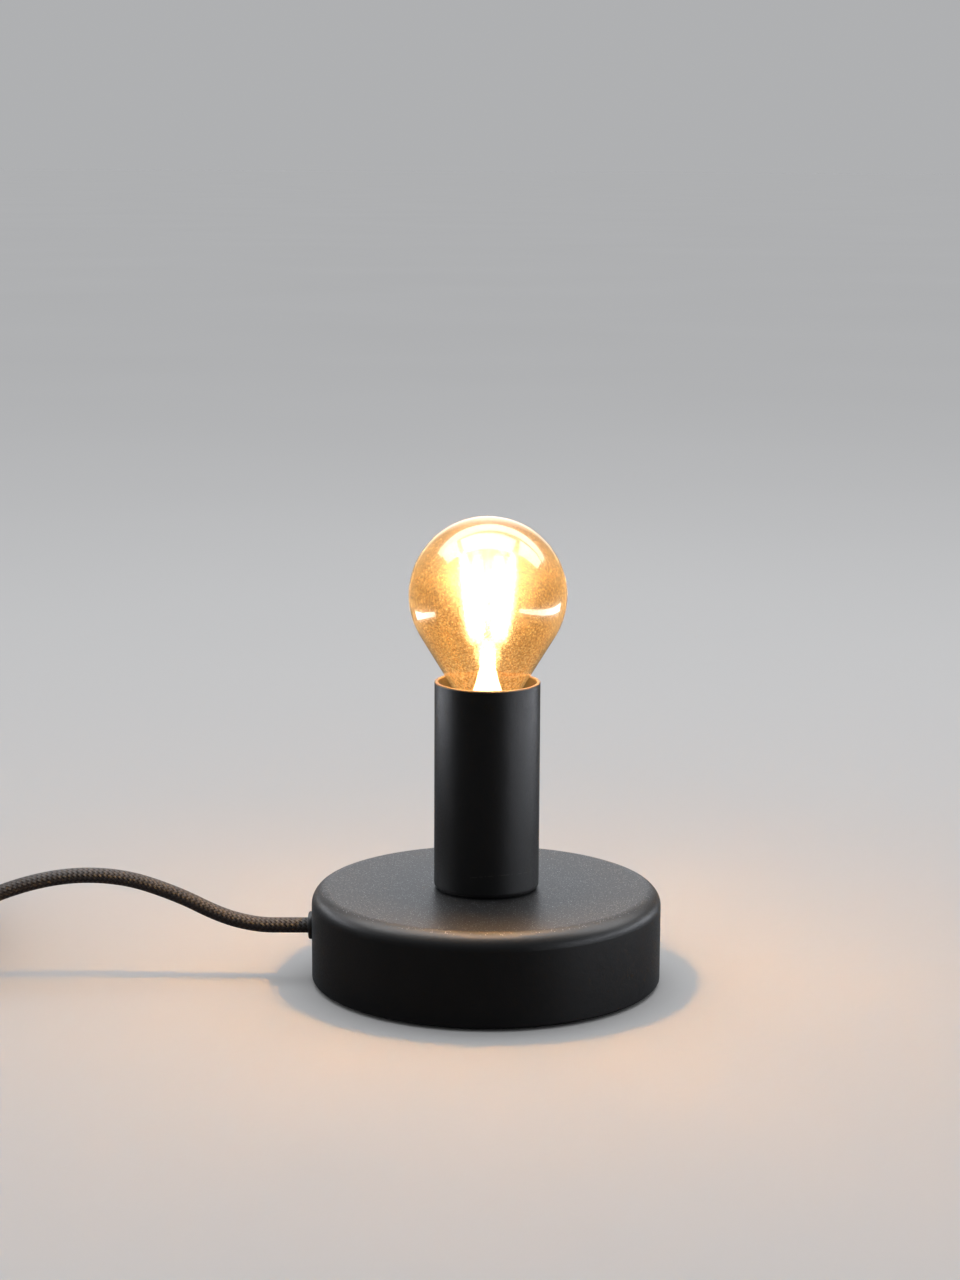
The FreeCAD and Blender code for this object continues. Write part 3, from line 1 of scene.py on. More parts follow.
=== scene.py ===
"""Table lamp with a bare amber globe bulb on a round black base, dressed for a studio picture.

Metres, +Z up, the camera looks along +Y. The lamp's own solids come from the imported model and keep
their shapes. This script gives each of them its finish, and lays the cloth cord along its route.
"""

import math

import bpy
from mathutils import Matrix, Vector


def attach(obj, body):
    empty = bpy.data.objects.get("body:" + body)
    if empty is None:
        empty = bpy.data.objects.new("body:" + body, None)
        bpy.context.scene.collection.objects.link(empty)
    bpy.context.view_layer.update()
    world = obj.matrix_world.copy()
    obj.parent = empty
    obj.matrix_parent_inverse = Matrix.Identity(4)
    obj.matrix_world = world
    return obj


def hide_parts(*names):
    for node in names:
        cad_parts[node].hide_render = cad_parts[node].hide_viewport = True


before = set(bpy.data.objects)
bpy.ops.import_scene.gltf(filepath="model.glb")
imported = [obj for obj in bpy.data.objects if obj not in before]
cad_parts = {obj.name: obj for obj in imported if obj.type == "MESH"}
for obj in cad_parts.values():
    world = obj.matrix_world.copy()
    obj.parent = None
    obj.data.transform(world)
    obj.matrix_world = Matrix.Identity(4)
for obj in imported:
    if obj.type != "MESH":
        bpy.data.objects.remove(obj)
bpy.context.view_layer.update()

MM = 0.001
CORD_RADIUS = 2.2 * MM

# Where the solids lie, for the finishes that change over them
BASE_TOP = 27 * MM
SLEEVE_FLOOR = 28.5 * MM
SLEEVE_TOP = 87 * MM
SLEEVE_RADIUS = 15 * MM
SLEEVE_BORE = 14.4 * MM
STEM_FOOT = 77 * MM
STEM_SHOULDER = 88 * MM
NECK_TOP = 90 * MM
GLOBE_LOW = 106 * MM
GLOBE_MIDDLE = 112 * MM
STICK_MIDDLE = 111 * MM
LIGHT_HEIGHT = 119 * MM


# Mesh helpers

def clear_selection():
    """Nothing is selected or active afterwards."""
    for thing in bpy.context.selected_objects:
        thing.select_set(False)
    bpy.context.view_layer.objects.active = None


def take(thing):
    """Selects one object alone and makes it the active one."""
    clear_selection()
    thing.select_set(True)
    bpy.context.view_layer.objects.active = thing
    return thing


def settle(thing, body, finish, smooth=40):
    """Applies the object's place to its mesh, shades it and hangs it on its body."""
    take(thing)
    bpy.ops.object.transform_apply(location=True, rotation=True, scale=True)
    bpy.ops.object.shade_smooth_by_angle(angle=math.radians(smooth))
    thing.data.materials.clear()
    thing.data.materials.append(finish)
    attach(thing, body)
    clear_selection()
    return thing


# Shader maths

class Number:
    """One value socket of a finish. Arithmetic on it adds the Math nodes."""

    def __init__(self, finish, socket):
        self.finish = finish
        self.socket = socket

    def _maths(self, operation, *values):
        return self.finish.add("ShaderNodeMath", {"operation": operation}, *values).out()

    def __add__(self, other):
        return self._maths("ADD", self, other)

    def __sub__(self, other):
        return self._maths("SUBTRACT", self, other)

    def __rsub__(self, other):
        return self._maths("SUBTRACT", other, self)

    def __mul__(self, other):
        return self._maths("MULTIPLY", self, other)

    def __truediv__(self, other):
        return self._maths("DIVIDE", self, other)

    def __gt__(self, other):
        return self._maths("GREATER_THAN", self, other)

    def __lt__(self, other):
        return self._maths("LESS_THAN", self, other)

    def sine(self):
        return self._maths("SINE", self)

    def size(self):
        """The value without its sign."""
        return self._maths("ABSOLUTE", self)

    def rest(self, step):
        """What is left over whole steps, from 0 to step."""
        return self._maths("FLOORED_MODULO", self, step)

    def most(self, other):
        return self._maths("MAXIMUM", self, other)

    def ramp(self, low, high, to_low=0.0, to_high=1.0):
        """Runs from to_low to to_high while this value runs from low to high."""
        return self.finish.add("ShaderNodeMapRange", {"clamp": True},
                               self, low, high, to_low, to_high).out()


class Step:
    """One node of a finish, with its outputs at hand."""

    def __init__(self, finish, node):
        self.finish = finish
        self.node = node

    def out(self, name=0):
        return Number(self.finish, self.node.outputs[name])


class Finish:
    """A procedural finish: a Principled shader and the nodes that feed it."""

    def __init__(self, name, **plain):
        self.material = bpy.data.materials.new(name)
        self.material.use_nodes = True
        self.tree = self.material.node_tree
        self.tree.nodes.clear()
        self.output = self.tree.nodes.new("ShaderNodeOutputMaterial")
        self.shader = self.tree.nodes.new("ShaderNodeBsdfPrincipled")
        self.tree.links.new(self.shader.outputs[0], self.output.inputs["Surface"])
        for socket, value in plain.items():
            self.set(socket.replace("_", " "), value)

    def set(self, socket, value):
        """Sets or links one of the shader's own sockets."""
        self._feed(self.shader.inputs[socket], value)

    def _feed(self, socket, value):
        if value is None:
            return
        if isinstance(value, Number):
            self.tree.links.new(value.socket, socket)
        elif isinstance(value, tuple) and len(value) == 3 and socket.type == "RGBA":
            socket.default_value = (*value, 1.0)
        else:
            socket.default_value = value

    def add(self, kind, settings, *values, **named):
        """A node of this kind: settings first, then the values or links of its sockets."""
        node = self.tree.nodes.new(kind)
        for name, value in settings.items():
            setattr(node, name, value)
        sockets = [socket for socket in node.inputs if socket.enabled]
        for socket, value in zip(sockets, values):
            self._feed(socket, value)
        for name, value in named.items():
            self._feed(node.inputs[name.replace("_", " ")], value)
        return Step(self, node)

    def place(self):
        """Where a point lies on the object, in metres."""
        return self.add("ShaderNodeTexCoord", {}).out("Object")

    def split(self, vector):
        """The three values of a vector."""
        step = self.add("ShaderNodeSeparateXYZ", {}, vector)
        return step.out("X"), step.out("Y"), step.out("Z")

    def grain(self, per_mm, detail=2.0, rough=0.5, place=None, stretch=(1, 1, 1)):
        """Noise with this many cells per millimetre, from 0 to 1."""
        where = self.add("ShaderNodeVectorMath", {"operation": "MULTIPLY"},
                         place or self.place(), stretch).out()
        return self.add("ShaderNodeTexNoise", {}, Vector=where, Scale=per_mm / MM, Detail=detail,
                        Roughness=rough).out("Fac")

    def specks(self, per_mm, share):
        """1 in a random share of tiny round cells and 0 elsewhere."""
        cells = self.add("ShaderNodeTexVoronoi", {}, Vector=self.place(), Scale=per_mm / MM)
        chosen = self.split(cells.out("Color"))[0] > 1 - share
        return chosen * (cells.out("Distance") < 0.35)

    def blend(self, share, first, second):
        """The colour first where share is 0 and second where it is 1."""
        node = self.add("ShaderNodeMix", {"data_type": "RGBA"})
        sockets = {s.identifier: s for s in node.node.inputs}
        self._feed(sockets["Factor_Float"], share)
        self._feed(sockets["A_Color"], first)
        self._feed(sockets["B_Color"], second)
        outputs = {s.identifier: s for s in node.node.outputs}
        return Number(self, outputs["Result_Color"])

    def relief(self, height, deep_mm):
        """Raises and sinks the surface by the height, deep_mm for a height of 1."""
        bump = self.add("ShaderNodeBump", {}, Strength=1.0, Distance=deep_mm * MM, Height=height)
        self.set("Normal", bump.out("Normal"))


# Finishes

SCUFF_HEIGHT = 34.2 * MM
SCUFF_MIDDLE = 5 * MM
SCUFF_WEST, SCUFF_EAST = -4.5 * MM, 13 * MM
SCUFF_SAG = 9


def black_powder_coat():
    """Matt black powder. Pale specks on the base's top are partly dust and partly a painted sheen; the
    inside of the sleeve is painted brown and its rim warm light brown, as painted light of the bulb on
    them.
    """
    coat = Finish("black powder coat", Specular_IOR_Level=0.45, Sheen_Weight=0.10, Sheen_Roughness=0.3)
    coat.set("Sheen Tint", (0.84, 0.92, 1.0))
    fine = coat.grain(2.0, 3.0, 0.6)
    wide = coat.grain(0.10, 2.0)
    east, north, up = coat.split(coat.place())
    out = east * east + north * north
    tone = coat.blend(wide.ramp(0.3, 0.7), (0.0022, 0.0022, 0.0025), (0.0036, 0.0036, 0.0042))
    # Pale bluish specks on the base's top: partly dust, partly a painted sheen that makes the top lighter.
    dust_and_painted_sheen = ((up - BASE_TOP).size() < 0.5 * MM) * (out > (SLEEVE_RADIUS + 0.2 * MM) ** 2)
    tone = coat.blend(coat.specks(2.2, 0.22) * dust_and_painted_sheen, tone, (0.20, 0.205, 0.22))
    across = east - SCUFF_MIDDLE
    scuff = ((up - SCUFF_HEIGHT + across * across * SCUFF_SAG).size() < 0.12 * MM) * (north < -8 * MM)
    scuff = scuff * (east > SCUFF_WEST) * (east < SCUFF_EAST) * (coat.grain(0.8, 2.0) > 0.5)
    tone = coat.blend(scuff, tone, (0.022, 0.021, 0.020))
    # Painted light: the sleeve's inner wall is painted brown, standing in for the bulb's warm light on it.
    inside = (out < SLEEVE_BORE ** 2) * (up > SLEEVE_FLOOR)
    tone = coat.blend(inside, tone, (0.042, 0.033, 0.020))
    # Painted highlight: the sleeve's top edge is painted warm light brown, where the bulb's light catches
    # it.
    painted_rim_highlight = up > SLEEVE_TOP - 0.4 * MM
    coat.set("Base Color", coat.blend(painted_rim_highlight, tone, (0.20, 0.135, 0.075)))
    coat.set("Roughness", fine.ramp(0.3, 0.7, 0.34, 0.52))
    coat.relief(fine, 0.022)
    return coat.material


def bare_metal(name, tone, worn, roughness, per_mm=0.6):
    """Plated or turned metal with slightly duller patches."""
    metal = Finish(name, Metallic=1.0)
    patches = metal.grain(per_mm, 3.0, 0.6)
    scratches = metal.grain(4.0, 2.0, 0.5, stretch=(1, 1, 0.12))
    metal.set("Base Color", metal.blend(patches.ramp(0.42, 0.68), tone, worn))
    metal.set("Roughness", patches.ramp(0.3, 0.7, roughness, roughness + 0.12))
    metal.relief(scratches, 0.0015)
    return metal.material


def cast_iron():
    """Rough grey casting with brownish patches of rust."""
    iron = Finish("cast iron", Metallic=0.7)
    lumps = iron.grain(0.9, 4.0, 0.65)
    rust = iron.grain(0.16, 3.0, 0.6)
    iron.set("Base Color", iron.blend(rust.ramp(0.52, 0.72), (0.085, 0.083, 0.080), (0.13, 0.075, 0.045)))
    iron.set("Roughness", lumps.ramp(0.3, 0.7, 0.55, 0.8))
    iron.relief(lumps, 0.12)
    return iron.material


def moulded_plastic(name, tone, paler, roughness, deep_mm=0.012, per_mm=3.2):
    """Moulded plastic with a fine spark-eroded grain."""
    plastic = Finish(name, Specular_IOR_Level=0.45)
    grain = plastic.grain(per_mm, 2.0, 0.55)
    clouds = plastic.grain(0.09, 2.0)
    plastic.set("Base Color", plastic.blend(clouds.ramp(0.35, 0.7), tone, paler))
    plastic.set("Roughness", grain.ramp(0.25, 0.75, roughness - 0.05, roughness + 0.09))
    plastic.relief(grain, deep_mm)
    return plastic.material


def foam():
    """Black foam rubber with fine cells."""
    pad = Finish("foot foam", Roughness=0.95, Specular_IOR_Level=0.25)
    cells = pad.add("ShaderNodeTexVoronoi", {}, Vector=pad.place(), Scale=2.4 / MM).out("Distance")
    pad.set("Base Color", pad.blend(cells.ramp(0.1, 0.6), (0.012, 0.012, 0.012), (0.035, 0.035, 0.036)))
    pad.relief(cells, 0.10)
    return pad.material


CARRIERS = 12
LAY = 0.8
THREADS = 3


def braided_cloth():
    """Dark round braid. The piece's UV map holds the way along the cord and the way round it, in mm."""
    cloth = Finish("braided cord cloth", Roughness=0.56, Sheen_Weight=0.05, Sheen_Roughness=0.35,
                   Specular_IOR_Level=0.50)
    cloth.set("Sheen Tint", (0.80, 0.72, 0.68))
    along, around, _ = cloth.split(cloth.add("ShaderNodeTexCoord", {}).out("UV"))
    pitch = 2 * math.pi * CORD_RADIUS / MM / CARRIERS
    right = (along * LAY + around) / pitch
    left = (along * LAY - around) / pitch
    check = ((right - right.rest(1.0) + left - left.rest(1.0)) * 0.5).rest(1.0) * 2
    right_edge, left_edge = (right.rest(1.0) - 0.5).size() * 2, (left.rest(1.0) - 0.5).size() * 2
    edge = check * right_edge + (1 - check) * left_edge
    bulge = 1 - edge * edge
    thread = ((check * right + (1 - check) * left) * THREADS).rest(1.0)
    twine = 1 - (thread * 2 - 1) * (thread * 2 - 1)
    lift = bulge * 0.8 + twine * 0.2
    # Painted shade: the braid is painted almost black in the grooves between strands and lighter on their
    # crowns.
    tone = cloth.blend(lift.ramp(0.30, 0.92), (0.0004, 0.0004, 0.0004), (0.028, 0.0185, 0.015))
    cloth.set("Base Color", tone)
    cloth.relief(lift, 0.22)
    return cloth.material


def woven_strap():
    """Black woven strap, with short ribs across it."""
    strap = Finish("woven strap", Roughness=0.85, Sheen_Weight=0.12, Sheen_Roughness=0.5)
    east, north, up = strap.split(strap.place())
    rib = 0.55 * MM
    ribs = ((up + (east - north) * 0.6) / rib * 2 * math.pi).sine()
    fluff = strap.grain(4.0, 2.0, 0.6)
    tone = strap.blend(fluff.ramp(0.3, 0.7), (0.006, 0.006, 0.0065), (0.016, 0.016, 0.017))
    strap.set("Base Color", tone)
    strap.relief(ribs * 0.5 + fluff, 0.06)
    return strap.material


def insulation(name, tone, paler):
    """Smooth wire insulation."""
    sleeve = Finish(name, Roughness=0.38)
    haze = sleeve.grain(0.5, 2.0)
    sleeve.set("Base Color", sleeve.blend(haze.ramp(0.3, 0.7), tone, paler))
    return sleeve.material


def let_lamps_through(glass, colour):
    """Lamps shine through the glass with its own tint, as they do through a thin wall."""
    ray = glass.add("ShaderNodeLightPath", {})
    clear = glass.add("ShaderNodeBsdfTransparent", {}, colour)
    mixed = glass.add("ShaderNodeMixShader", {})
    glass.tree.links.new(ray.node.outputs["Is Shadow Ray"], mixed.node.inputs[0])
    glass.tree.links.new(glass.shader.outputs[0], mixed.node.inputs[1])
    glass.tree.links.new(clear.node.outputs[0], mixed.node.inputs[2])
    glass.tree.links.new(mixed.node.outputs[0], glass.output.inputs["Surface"])


def amber_glass():
    """Gold-tinted glass under a clear skin, whose mottled lustre scatters the light of the sticks inside.
    Its emission is a painted glow of that light, brighter in the neck than in the globe, with glowing
    specks.
    """
    glass = Finish("amber glass", Transmission_Weight=1.0, IOR=1.45, Emission_Strength=1.0,
                   Coat_Weight=1.0, Coat_Roughness=0.01, Coat_IOR=1.5)
    mottle = glass.grain(1.5, 4.0, 0.7)
    clouds = glass.grain(0.13, 2.0)
    tone = glass.blend(mottle.ramp(0.38, 0.62), (0.62, 0.38, 0.125), (0.86, 0.66, 0.32))
    glass.set("Base Color", glass.blend(clouds.ramp(0.35, 0.7, 0.0, 0.5), tone, (0.72, 0.46, 0.17)))
    up = glass.split(glass.place())[2]
    belt = (up - GLOBE_MIDDLE).size().ramp(9 * MM, 26 * MM, 0.09, 0.0)
    globe = up.ramp(NECK_TOP, GLOBE_LOW)
    glass.set("Roughness", mottle.ramp(0.35, 0.65, 0.08, 0.18) * (globe * 0.75 + 0.25) + belt)
    # Painted glow: the glass's emission colour stands in for the sticks' light scattered in it.
    flecks = mottle.ramp(0.44, 0.62)
    painted_globe_glow = glass.blend(flecks, (0.004, 0.0015, 0.0003), (0.125, 0.062, 0.015))
    painted_neck_glow = glass.blend(flecks, (0.10, 0.052, 0.018), (0.34, 0.225, 0.105))
    glow = glass.blend(globe, painted_neck_glow, painted_globe_glow)
    glass.set("Emission Color", glass.blend(glass.specks(1.6, 0.08), glow, (0.40, 0.24, 0.09)))
    let_lamps_through(glass, (0.96, 0.80, 0.52, 1.0))
    return glass.material


def clear_glass():
    """The bulb's inner stem. Its emission is a painted glow that stands in for the sticks' light carried
    down from its top, dim at the foot and bright at the shoulder.
    """
    glass = Finish("clear glass", Transmission_Weight=1.0, Roughness=0.02, IOR=1.5,
                   Emission_Strength=4.2)
    haze = glass.grain(0.8, 2.0)
    glass.set("Base Color", glass.blend(haze.ramp(0.3, 0.7), (0.97, 0.98, 0.97), (0.90, 0.91, 0.90)))
    # Painted glow: the stem's emission rises from its foot to its shoulder.
    climb = glass.split(glass.place())[2].ramp(STEM_FOOT, STEM_SHOULDER)
    glass.set("Emission Color", glass.blend(climb, (0.24, 0.19, 0.14), (0.80, 0.88, 1.0)))
    let_lamps_through(glass, (0.97, 0.98, 0.97, 1.0))
    return glass.material


def glowing_phosphor():
    """Yellow phosphor over a lit stick, brightest halfway up and dimmer towards both ends."""
    stick = Finish("lit phosphor", Roughness=0.6, Emission_Strength=34.0)
    beads = stick.grain(1.6, 2.0)
    stick.set("Base Color", stick.blend(beads.ramp(0.3, 0.7), (0.86, 0.62, 0.22), (0.93, 0.74, 0.34)))
    up = stick.split(stick.place())[2]
    middle = (up - STICK_MIDDLE).size().ramp(3 * MM, 13 * MM, 1.0, 0.0)
    stick.set("Emission Color", stick.blend(middle, (0.05, 0.048, 0.050), (0.70, 0.78, 0.95)))
    stick.relief(beads, 0.05)
    return stick.material


def cap_cement():
    """Pale crumbly cement."""
    cement = Finish("cap cement", Roughness=0.9)
    crumbs = cement.grain(1.5, 4.0, 0.7)
    cement.set("Base Color", cement.blend(crumbs.ramp(0.3, 0.7), (0.42, 0.38, 0.32), (0.62, 0.58, 0.50)))
    cement.relief(crumbs, 0.08)
    return cement.material


def circuit_board():
    """Green lacquer over copper lines, with the lines running up the board."""
    board = Finish("circuit board", Roughness=0.35)
    east, north, up = board.split(board.place())
    lines = (((east + north) / (1.4 * MM)).rest(1.0) < 0.3) * ((up / (5.0 * MM)).rest(1.0) > 0.15)
    board.set("Base Color", board.blend(lines, (0.010, 0.075, 0.030), (0.030, 0.16, 0.060)))
    board.relief(lines, 0.03)
    return board.material


FINISH = {
    "black_coat": black_powder_coat(),
    "cast_iron": cast_iron(),
    "zinc_steel": bare_metal("zinc plated steel", (0.56, 0.57, 0.59), (0.40, 0.41, 0.44), 0.30),
    "brass": bare_metal("brass", (0.76, 0.55, 0.23), (0.52, 0.36, 0.14), 0.22),
    "nickel": bare_metal("nickel plate", (0.70, 0.68, 0.63), (0.60, 0.575, 0.52), 0.20),
    "bulb_cap_metal": bare_metal("bulb cap plate", (0.72, 0.69, 0.62), (0.50, 0.45, 0.36), 0.22),
    "black_plastic": moulded_plastic("black moulded plastic", (0.0085, 0.0085, 0.009),
                                     (0.012, 0.012, 0.0125), 0.42),
    "holder_plastic": moulded_plastic("holder plastic", (0.020, 0.017, 0.015), (0.027, 0.023, 0.020), 0.34),
    "foot_foam": foam(),
    "cord_cloth": braided_cloth(),
    "brown_insulation": insulation("brown insulation", (0.12, 0.045, 0.018), (0.15, 0.060, 0.025)),
    "blue_insulation": insulation("blue insulation", (0.012, 0.085, 0.36), (0.020, 0.11, 0.42)),
    "amber_glass": amber_glass(),
    "clear_glass": clear_glass(),
    "phosphor": glowing_phosphor(),
    "cement": cap_cement(),
    "black_glass": moulded_plastic("black cap glass", (0.010, 0.008, 0.014), (0.018, 0.014, 0.024),
                                   0.12, deep_mm=0.004, per_mm=0.6),
    "circuit_board": circuit_board(),
}


# The cloth cord

def cord_line(name, points):
    """One smooth open spline with these points as its control points, in millimetres."""
    line = bpy.data.curves.new(name, "CURVE")
    line.dimensions = "3D"
    line.resolution_u = 12
    spline = line.splines.new("NURBS")
    spline.points.add(len(points) - 1)
    for knot, point in zip(spline.points, points):
        knot.co = (*[value * MM for value in point], 1.0)
    spline.order_u = 3
    spline.use_endpoint_u = True
    thing = bpy.data.objects.new(name, line)
    bpy.context.scene.collection.objects.link(thing)
    return thing


def points_on(line):
    """The points that the spline passes through, in order."""
    bpy.context.view_layer.update()
    flat = bpy.data.meshes.new_from_object(line.evaluated_get(bpy.context.evaluated_depsgraph_get()))
    found = [vertex.co.copy() for vertex in flat.vertices]
    bpy.data.meshes.remove(flat)
    kept = [found[0]]
    for point in found[1:]:
        if (point - kept[-1]).length > 0.01 * MM:
            kept.append(point)
    return kept


def even_points(points, step):
    """The same line with points a step apart."""
    reach = [0.0]
    for start, end in zip(points, points[1:]):
        reach.append(reach[-1] + (end - start).length)
    count = max(2, round(reach[-1] / step))
    made, index = [], 0
    for k in range(count + 1):
        want = reach[-1] * k / count
        while index < len(points) - 2 and reach[index + 1] < want:
            index += 1
        share = (want - reach[index]) / (reach[index + 1] - reach[index])
        made.append(points[index].lerp(points[index + 1], share))
    return made, reach[-1]


def braid_tube(name, points, radius, sides, start=0.0):
    """A closed tube along the points. Its UV map holds millimetres along and round the cord."""
    heading = (points[1] - points[0]).normalized()
    up = Vector((0, 0, 1))
    across = heading.cross(up).normalized()
    up = across.cross(heading)
    vertices, rings, run, travelled = [], [], start, []
    for index, point in enumerate(points):
        before, after = points[max(index - 1, 0)], points[min(index + 1, len(points) - 1)]
        turned = (after - before).normalized()
        twist = heading.rotation_difference(turned)
        across, up, heading = twist @ across, twist @ up, turned
        if index:
            run += (point - before).length
        travelled.append(run / MM)
        rings.append(len(vertices))
        for side in range(sides):
            angle = 2 * math.pi * side / sides
            vertices.append(point + (across * math.cos(angle) + up * math.sin(angle)) * radius)
    faces, places = [], []
    round_mm = 2 * math.pi * radius / MM
    for index in range(len(rings) - 1):
        for side in range(sides):
            following = (side + 1) % sides
            faces.append((rings[index] + side, rings[index + 1] + side,
                          rings[index + 1] + following, rings[index] + following))
            first, second = round_mm * side / sides, round_mm * (side + 1) / sides
            places += [(travelled[index], first), (travelled[index + 1], first),
                       (travelled[index + 1], second), (travelled[index], second)]
    faces.append(tuple(range(sides)))
    faces.append(tuple(rings[-1] + side for side in reversed(range(sides))))
    places += [(0, 0)] * (2 * sides)
    mesh = bpy.data.meshes.new(name)
    mesh.from_pydata([tuple(v) for v in vertices], [], faces)
    layer = mesh.uv_layers.new(name="braid")
    for loop, place in zip(layer.data, places):
        loop.uv = place
    thing = bpy.data.objects.new(name, mesh)
    bpy.context.scene.collection.objects.link(thing)
    return thing


# Control points of the cord's route, in millimetres
LAMP_TO_SWITCH = [
    (-50.0, 0.0, 15.2), (-57.0, 0.0, 15.2), (-65.5, 0.1, 15.1), (-76.0, 0.4, 17.6), (-89.0, 0.6, 24.2),
    (-105.5, 0.0, 29.8), (-125.0, -2.2, 29.9), (-147.0, -8.0, 23.4), (-164.5, -20.2, 10.6),
    (-179.3, -33.0, 2.3), (-191.5, -44.0, 2.25), (-202.9, -47.5, 2.4), (-214.7, -45.3, 3.6),
    (-223.8, -38.2, 6.0), (-228.5, -27.9, 6.5), (-228.5, -17.0, 8.0),
]
SWITCH_TO_COIL = [
    (-228.5, 39.0, 8.0), (-228.5, 48.6, 8.0), (-225.0, 58.0, 6.5), (-218.3, 65.3, 4.3), (-209.1, 69.2, 2.6),
    (-197.6, 69.4, 2.25), (-186.5, 69.4, 2.25),
]
COIL_TO_PLUG = [
    (-211.6125, 45.5, 21.65), (-211.6125, 56.2, 21.65), (-211.4, 67.0, 21.2), (-207.6, 76.2, 20.7),
    (-200.7, 83.0, 20.5), (-191.7, 86.5, 20.8), (-182.1, 86.4, 21.6), (-173.1, 82.8, 23.2),
    (-166.3, 76.0, 25.1), (-162.6, 66.9, 26.1), (-162.6, 57.0, 26.1),
]
COIL_CENTRE = (-181.5, 40.5)
COIL_RADIUS = 28.9
COIL_PITCH = 4.85
COIL_FLOOR = 2.25
COIL_LAYERS = 4
LAYER_QUARTERS = 7
QUARTER_POINTS = 5


def coil_turns():
    """The wound turns in millimetres: layers in and out by turns, each climbed to in half a turn."""
    quarters = []
    for layer in range(COIL_LAYERS):
        way = -1 if layer % 2 == 0 else 1
        quarters += [(way, 0.0)] * LAYER_QUARTERS
        if layer < COIL_LAYERS - 1:
            quarters += [(way, 0.5), (-way, 0.5)]
    quarters.append((1, 1.0))
    bulge = 2 / (1 + math.cos(math.pi / (4 * QUARTER_POINTS)))
    radius, height, turns = COIL_RADIUS, COIL_FLOOR, []
    for index, (way, climb) in enumerate(quarters):
        for part in range(QUARTER_POINTS):
            share = (part + 0.5) / QUARTER_POINTS
            angle = math.pi / 2 - (index + share) * math.pi / 2
            far = (radius + way * COIL_PITCH / 4 * share) * bulge
            rise = share * share * (3 - 2 * share) if climb == 1.0 else share
            turns.append((COIL_CENTRE[0] + math.cos(angle) * far, COIL_CENTRE[1] + math.sin(angle) * far,
                          height + climb * COIL_PITCH * rise))
        radius += way * COIL_PITCH / 4
        height += climb * COIL_PITCH
    return turns


TIE_TURN = math.radians(-120)
TIE_OUT = Vector((math.cos(TIE_TURN), math.sin(TIE_TURN), 0))
TIE_ALONG = Vector((-math.sin(TIE_TURN), math.cos(TIE_TURN), 0))
TIE_WIDTH = 8.0 * MM
TIE_ROOM = 0.15 * MM
FLOOR_ROOM = 0.2 * MM
STRAP = 0.6 * MM


def cord_rolls(line):
    """A short roll, a little thicker than the cord, wherever the coil passes the tie's place."""
    centre = Vector((COIL_CENTRE[0] * MM, COIL_CENTRE[1] * MM, 0))
    facing = TIE_ALONG.to_track_quat("Z", "Y").to_euler()
    nearest, farthest = 0.3 * COIL_RADIUS * MM, 1.2 * COIL_RADIUS * MM
    clear_selection()
    rolls = []
    for start, end in zip(line, line[1:]):
        before, after = (start - centre).dot(TIE_ALONG), (end - centre).dot(TIE_ALONG)
        far = (start - centre).dot(TIE_OUT)
        if before * after <= 0 and nearest < far < farthest:
            spot = centre + TIE_OUT * far
            spot.z = max(start.z, CORD_RADIUS + FLOOR_ROOM + STRAP)
            bpy.ops.mesh.primitive_cylinder_add(vertices=32, radius=CORD_RADIUS + TIE_ROOM,
                                                depth=TIE_WIDTH, location=spot, rotation=facing)
            rolls.append(bpy.context.object)
    return rolls


def select_faces(thing, wanted):
    """Selects the wanted faces alone. It starts and ends in edit mode."""
    bpy.ops.mesh.select_all(action="DESELECT")
    bpy.ops.object.mode_set(mode="OBJECT")
    for face in thing.data.polygons:
        face.select = wanted(face)
    bpy.ops.object.mode_set(mode="EDIT")


def lies_outside(face):
    """True for the strap's outer side above the floor and for its top."""
    return face.normal.dot(TIE_OUT) > 0.55 and face.center.z > 4 * MM or face.normal.z > 0.5


def coil_tie(line):
    """A woven strap, pulled round all the turns of the coil at one place, with its loose end on it."""
    rolls = cord_rolls(line)
    clear_selection()
    for roll in rolls:
        roll.select_set(True)
    bpy.context.view_layer.objects.active = rolls[0]
    bpy.ops.object.join()
    tie = bpy.context.object
    tie.name = "coil_tie"
    bpy.ops.object.transform_apply(location=True, rotation=True, scale=True)
    bpy.ops.object.mode_set(mode="EDIT")
    bpy.ops.mesh.select_mode(type="FACE")
    bpy.ops.mesh.select_all(action="SELECT")
    bpy.ops.mesh.convex_hull()
    select_faces(tie, lambda face: abs(face.normal.dot(TIE_ALONG)) > 0.9)
    bpy.ops.mesh.delete(type="FACE")
    bpy.ops.mesh.select_all(action="SELECT")
    bpy.ops.mesh.tris_convert_to_quads()
    select_faces(tie, lies_outside)
    bpy.ops.mesh.duplicate()
    bpy.ops.transform.shrink_fatten(value=STRAP * 1.1)
    bpy.ops.object.mode_set(mode="OBJECT")
    take(tie)
    wall = tie.modifiers.new("wall", "SOLIDIFY")
    wall.thickness, wall.offset = STRAP, 1.0
    bpy.ops.object.modifier_apply(modifier=wall.name)
    worn = tie.modifiers.new("worn edge", "BEVEL")
    worn.width, worn.segments, worn.limit_method = 0.12 * MM, 2, "ANGLE"
    bpy.ops.object.modifier_apply(modifier=worn.name)
    settle(tie, "root", woven_strap(), 40)
    return tie


NEAR_STEP, NEAR_SIDES = 1.0 * MM, 24
FAR_STEP, FAR_SIDES = 1.4 * MM, 16


